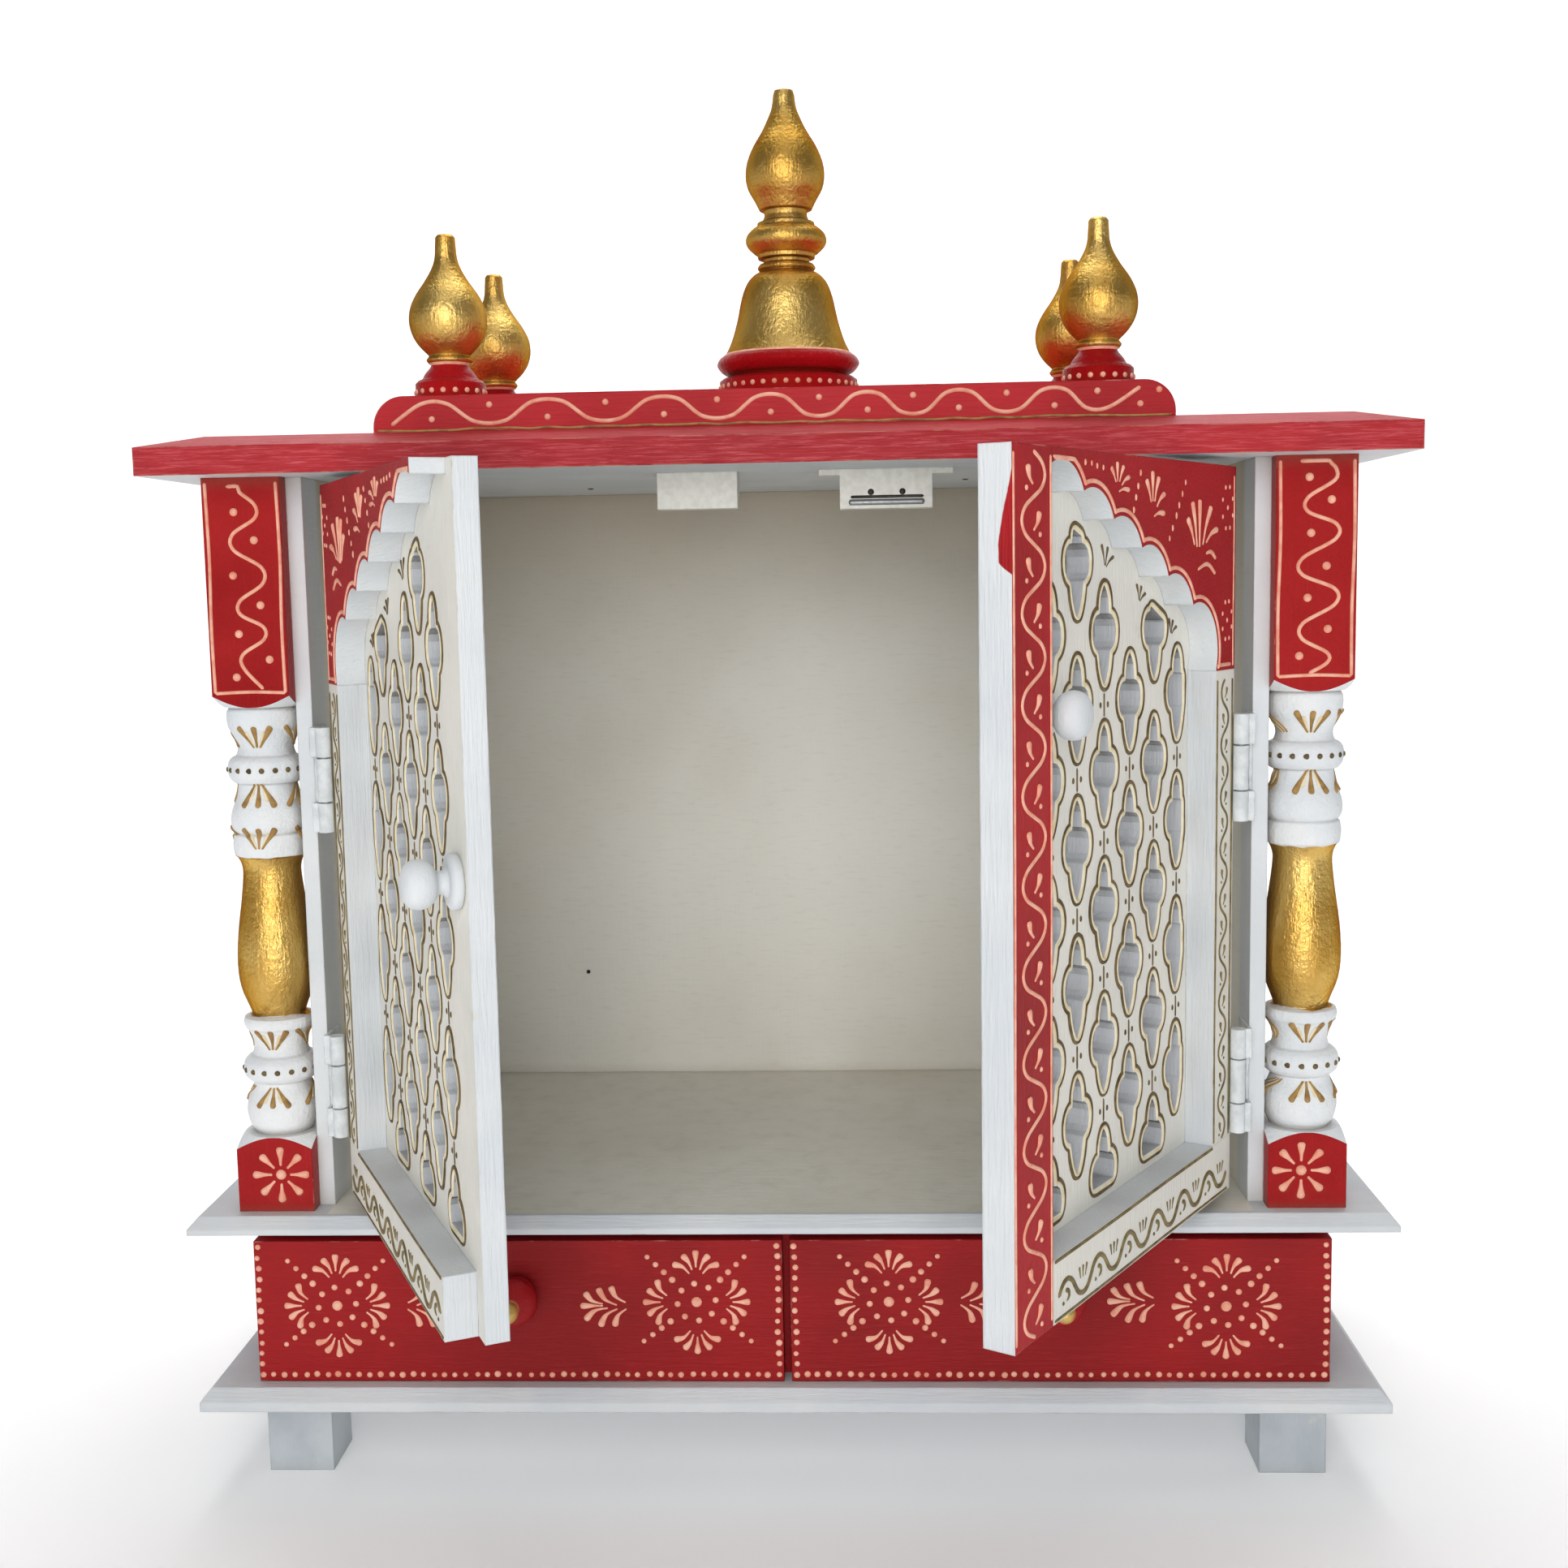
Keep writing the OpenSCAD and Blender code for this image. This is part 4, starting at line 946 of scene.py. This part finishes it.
def door(name, face, node, end_u):
    """Salmon painting of a spandrel, olive painting of a rail and a stile; end_u is the rail's free end."""
    body = name + "_door"
    p = Relief(name + "_spandrel_painting", body, SALMON)
    spandrel_edge(p, face, node)
    sprig(p, face, 45, 319.5, 22, 25, BUSH, 1.35)
    sprig(p, face, 100, 336.5, 13, 19, SPRIG, 1.15)
    sprig(p, face, 137.5, 346, 12, 12, SPRIG, 0.95)
    p.stroke(face, [(37, 319.5), (30.5, 320.3), (24.5, 317)], [0.6, 1.1, 0.9])
    p.stroke(face, [(47, 312), (35, 314.6), (25, 310)], [0.6, 1.1, 0.9])
    p.row(face, (62.5, 352), (81, 326), 6.3, 0.85, stretch=1.9)
    p.row(face, (113, 354), (121, 338), 5.8, 0.85, stretch=1.7)
    p.row(face, (170, 356.6), (151.5, 355.2), 6.2, 0.8, stretch=1.7)
    cluster(p, face, 9.2, 341.5, 7.0, 10.5)
    cluster(p, face, 8.8, 287.5, 6.4, 9.6)
    p.stroke(face, [(0.8, 357), (0.5, 320), (0.9, 285), (0.7, 265)], [0.6])
    p.build()
    q = Relief(name + "_frame_painting", body, OLIVE)
    scroll(q, face, (end_u - 4.5, 10.6), (4, 10.6), 16.0, -5.6, 1.2)
    q.stroke(face, [(22, 26.9), (80, 27.1), (140, 26.8), (end_u - 1, 27)], [0.85])
    q.stroke(face, [(2, 1.2), (80, 1.4), (140, 1.1), (end_u - 1, 1.3)], [0.7])
    vine(q, face, (10.8, 29), (10.8, 259), 12.5, 4.6, 0.8, 1.05)
    for a in (1.2, 20.8):
        q.stroke(face, [(a, 29), (a + 0.3, 90), (a - 0.2, 160), (a, 259)], [0.8])
    q.build()


door("left", LEFT_FRONT, "left_door_spandrel", 206)
door("right", RIGHT_FRONT, "right_door_spandrel", 200)


def strip():
    """Vine and edge lines on the meeting strip."""
    p = Relief("right_strip_painting", "right_door", SALMON)
    vine(p, RIGHT_FRONT, (216.8, 1.5), (216.8, 359), 17.9, -10.0, 0.9, 1.55)
    for a in (201.6, 233.6):
        p.stroke(RIGHT_FRONT, [(a, 3), (a + 0.3, 90), (a - 0.3, 200), (a, 358)], [0.7])
    p.build()


strip()


def plinth():
    """Wavy line and dots along the plinth, and a thin uneven line along its foot."""
    p = Relief("plinth_painting", "cabinet", SALMON)
    crests, last = [-166, -109, -52, 0, 47, 91, 137, 178], 196
    trough_z, crest_z, low_dot, high_dot, size = 543.5, 553.5, 545.5, 552, 1.6
    line = [(-186, 543)]
    for a, after in zip(crests, crests[1:] + [last]):
        trough = (a + after) / 2
        line += [(a, crest_z), (trough, trough_z)]
        p.dot(PLINTH_FACE, a, low_dot, size)
        p.dot(PLINTH_FACE, trough, high_dot, size)
    p.stroke(PLINTH_FACE, rounded(line[:-1], 0.26, 0.06), [1.0])
    p.build()
    q = Relief("plinth_foot_line", "cabinet", OCHRE)
    reach, steps = limit("roof_plinth", HIGH, X) - 2, 41
    foot = [(-reach + 2 * reach * i / steps, 540.4 + RNG.uniform(-0.4, 0.4)) for i in range(steps + 1)]
    q.stroke(PLINTH_FACE, foot, [0.55])
    q.build()


plinth()


def round_line(p, face, z, half):
    """A raised ring round a turning, closed at its back."""
    r = face.radius(z)
    p.stroke(face, [(math.pi * r * (i / 12 - 1), z) for i in range(25)], [half])


def round_dots(p, face, z, gap, size, shift=0.0):
    """A ring of dots round a turning, about a gap apart."""
    around = 2 * math.pi * face.radius(z)
    count = round(around / gap)
    for i in range(count):
        p.dot(face, around * (i + shift) / count, z, size)


def turnings():
    """Rings of dots and small fans round the columns."""
    ochre, cream = Relief("column_fans", "cabinet", OCHRE), Relief("column_fan_highlights", "cabinet", CREAM)
    brown = Relief("column_dots", "cabinet", BROWN)
    for side, node in ((-1, "left_column"), (1, "right_column")):
        s = Turned(node, middle(node, X), middle(node, Y), TURNING_FOOT, TURNING_HEAD)
        for z in (218.1, 373.7):
            round_dots(brown, s, z, 6.9, 1.5, 0.5)
        fans = [(385, 396), (367, 355), (229, 239.5), (209.5, 199.5)] + [(334, 344.5)] * (side < 0)
        for base, tip in fans:
            for quarter in range(4):
                a = math.pi * s.radius((base + tip) / 2) / 2 * quarter
                for k in (-1, 0, 1):
                    ochre.petal(s, (a + 1.4 * k, base), (a + 8.6 * k, tip), 0.6, 1.6)
                # Two cream drops in each fan: painted highlights of the raised fan
                for k in (-1, 1):
                    cream.petal(s, (a + 0.9 * k, base), (a + 4.4 * k, (base + 3 * tip) / 4), 0.4, 1.0)
    for p in (ochre, cream, brown):
        p.build()


def finial_feet():
    """A ring of dots and a raised ring round the foot of each finial."""
    p = Relief("finial_dots", "cabinet", SALMON)
    foot, tip, small_x, small_dots, central_dots = 556, 717, 160.5, 560.0, 565.0
    spots = [(x, node, small_dots, SMALL_COLLAR) for node in ("front_finials", "back_finials")
             for x in (-small_x, small_x)]
    spots.append((middle("central_finial", X), "central_finial", central_dots, CENTRAL_COLLAR))
    for x, node, z, collar in spots:
        s = Turned(node, x, middle(node, Y), foot, tip)
        round_dots(p, s, z, 6, 1.4)
        round_line(p, s, collar, 0.6)
    p.build()


turnings()
finial_feet()


def hardware():
    """Screw heads and the steel bar of the catch, screws in the ceiling and a nail in the back wall."""
    catch, wall = front_of("right_catch"), front_of("back_wall")
    ceiling = Flat((0, 0, limit("roof_board", LOW, Z)), (1, 0, 0), (0, 0, -1), (0, 1, 0))
    screw_z, slit_z, bar_z = 507.8, 505.4, 502.7
    dark = Relief("catch_screws", "cabinet", DARK_STEEL, "hinge_metal")
    for a in (48.3, 64.3):
        dark.dot(catch, a, screw_z, 1.7, tall=0.3)
    for a, z in ((-115, 50), (103, 28)):
        dark.dot(ceiling, a, z, 2.0, tall=0.3)
    dark.dot(wall, -138, 212.7, 1.4, tall=1.6)
    dark.stroke(catch, [(38, slit_z), (56, slit_z), (75, slit_z)], [0.8], tall=0.4)
    dark.build()
    bright = Relief("catch_bar", "cabinet", BRIGHT_STEEL, "hinge_metal")
    bright.stroke(catch, [(37, bar_z), (56, bar_z), (75.5, bar_z)], [1.6], tall=0.6)
    bright.build()


hardware()


def floor():
    """Pale floor that curves up into a backdrop."""
    half, front, bend, radius, top = 5.0, -4.0, 1.2, 0.8, 4.0
    profile = [(front, 0.0), (bend, 0.0)]
    for k in range(1, 13):
        turn = math.pi * k / 24
        profile.append((bend + radius * math.sin(turn), radius - radius * math.cos(turn)))
    profile.append((bend + radius, top))
    mesh = bpy.data.meshes.new("floor")
    mesh.from_pydata([(x, y, z) for y, z in profile for x in (-half, half)], [],
                     [(2 * i, 2 * i + 1, 2 * i + 3, 2 * i + 2) for i in range(len(profile) - 1)])
    mesh.polygons.foreach_set("use_smooth", [True] * len(mesh.polygons))
    s = Shader("pale_floor")
    cloud = s.noise(3.0, 2.0)
    colour = s.mix(cloud, rgb(250, 250, 250), rgb(246, 246, 246))
    mesh.materials.append(s.finish(colour, 0.7, cloud, 0.0001, gloss=0.3, glow=0.14))
    piece = bpy.data.objects.new("floor", mesh)
    bpy.context.scene.collection.objects.link(piece)


def lamp(name, place, target, size, power):
    """A square lamp of a size in metres and a power in watts that looks at its target."""
    data = bpy.data.lights.new(name, "AREA")
    data.shape, data.size, data.energy = "SQUARE", size, power
    piece = bpy.data.objects.new(name, data)
    turn = (Vector(target) - Vector(place)).to_track_quat("-Z", "Y").to_matrix().to_4x4()
    piece.matrix_world = Matrix.Translation(place) @ turn
    bpy.context.scene.collection.objects.link(piece)


def studio():
    """Even light: a world that is pale near the horizon and dim above it, and four soft lamps."""
    scene = bpy.context.scene
    scene.view_settings.view_transform = "Standard"
    scene.view_settings.look = "None"
    scene.world = bpy.data.worlds.new("studio")
    scene.world.use_nodes = True
    tree = scene.world.node_tree
    look = tree.nodes.new("ShaderNodeTexCoord")
    split = tree.nodes.new("ShaderNodeSeparateXYZ")
    fade = tree.nodes.new("ShaderNodeMapRange")
    fade.interpolation_type = "SMOOTHSTEP"
    for key, value in (("From Min", 0.13), ("From Max", 0.28), ("To Min", 0.55), ("To Max", 0.12)):
        fade.inputs[key].default_value = value
    sky = tree.nodes["Background"]
    sky.inputs["Color"].default_value = (1.0, 1.0, 1.0, 1.0)
    tree.links.new(look.outputs["Generated"], split.inputs[0])
    tree.links.new(split.outputs["Z"], fade.inputs["Value"])
    tree.links.new(fade.outputs["Result"], sky.inputs["Strength"])
    lamp("front", (-0.25, -2.5, 1.4), (0, -0.1, 0.32), 1.5, 24.5)
    lamp("fill", (0.1, -2.1, 0.4), (0, 0.13, 0.28), 0.6, 7.4)
    lamp("top", (0.2, -0.5, 3.0), (0, 0, 0), 2.2, 14)
    lamp("back", (0, 0.9, 2.6), (0, 2.0, 0.7), 1.8, 45)


def camera():
    """Camera at the photograph's place, in metres and radians; its focal length is in the frame's pixels."""
    eye, yaw, pitch, roll = (0.04183, -1.01994, 0.46519), 0.0434, -0.1133, -0.0185
    sensor, frame_px, focal_px = 36.0, 1932, 2228.93
    ahead = Vector((-math.sin(yaw) * math.cos(pitch), math.cos(yaw) * math.cos(pitch), math.sin(pitch)))
    right = Vector((math.cos(yaw), math.sin(yaw), 0))
    up = right.cross(ahead)
    across = right * math.cos(roll) + up * math.sin(roll)
    over = up * math.cos(roll) - right * math.sin(roll)
    data = bpy.data.cameras.new("camera")
    data.sensor_width, data.lens, data.clip_start = sensor, sensor * focal_px / frame_px, 0.01
    piece = bpy.data.objects.new("camera", data)
    turn = Matrix((across, over, -ahead)).transposed().to_4x4()
    piece.matrix_world = Matrix.Translation(eye) @ turn
    bpy.context.scene.collection.objects.link(piece)
    bpy.context.scene.camera = piece


floor()
studio()
camera()
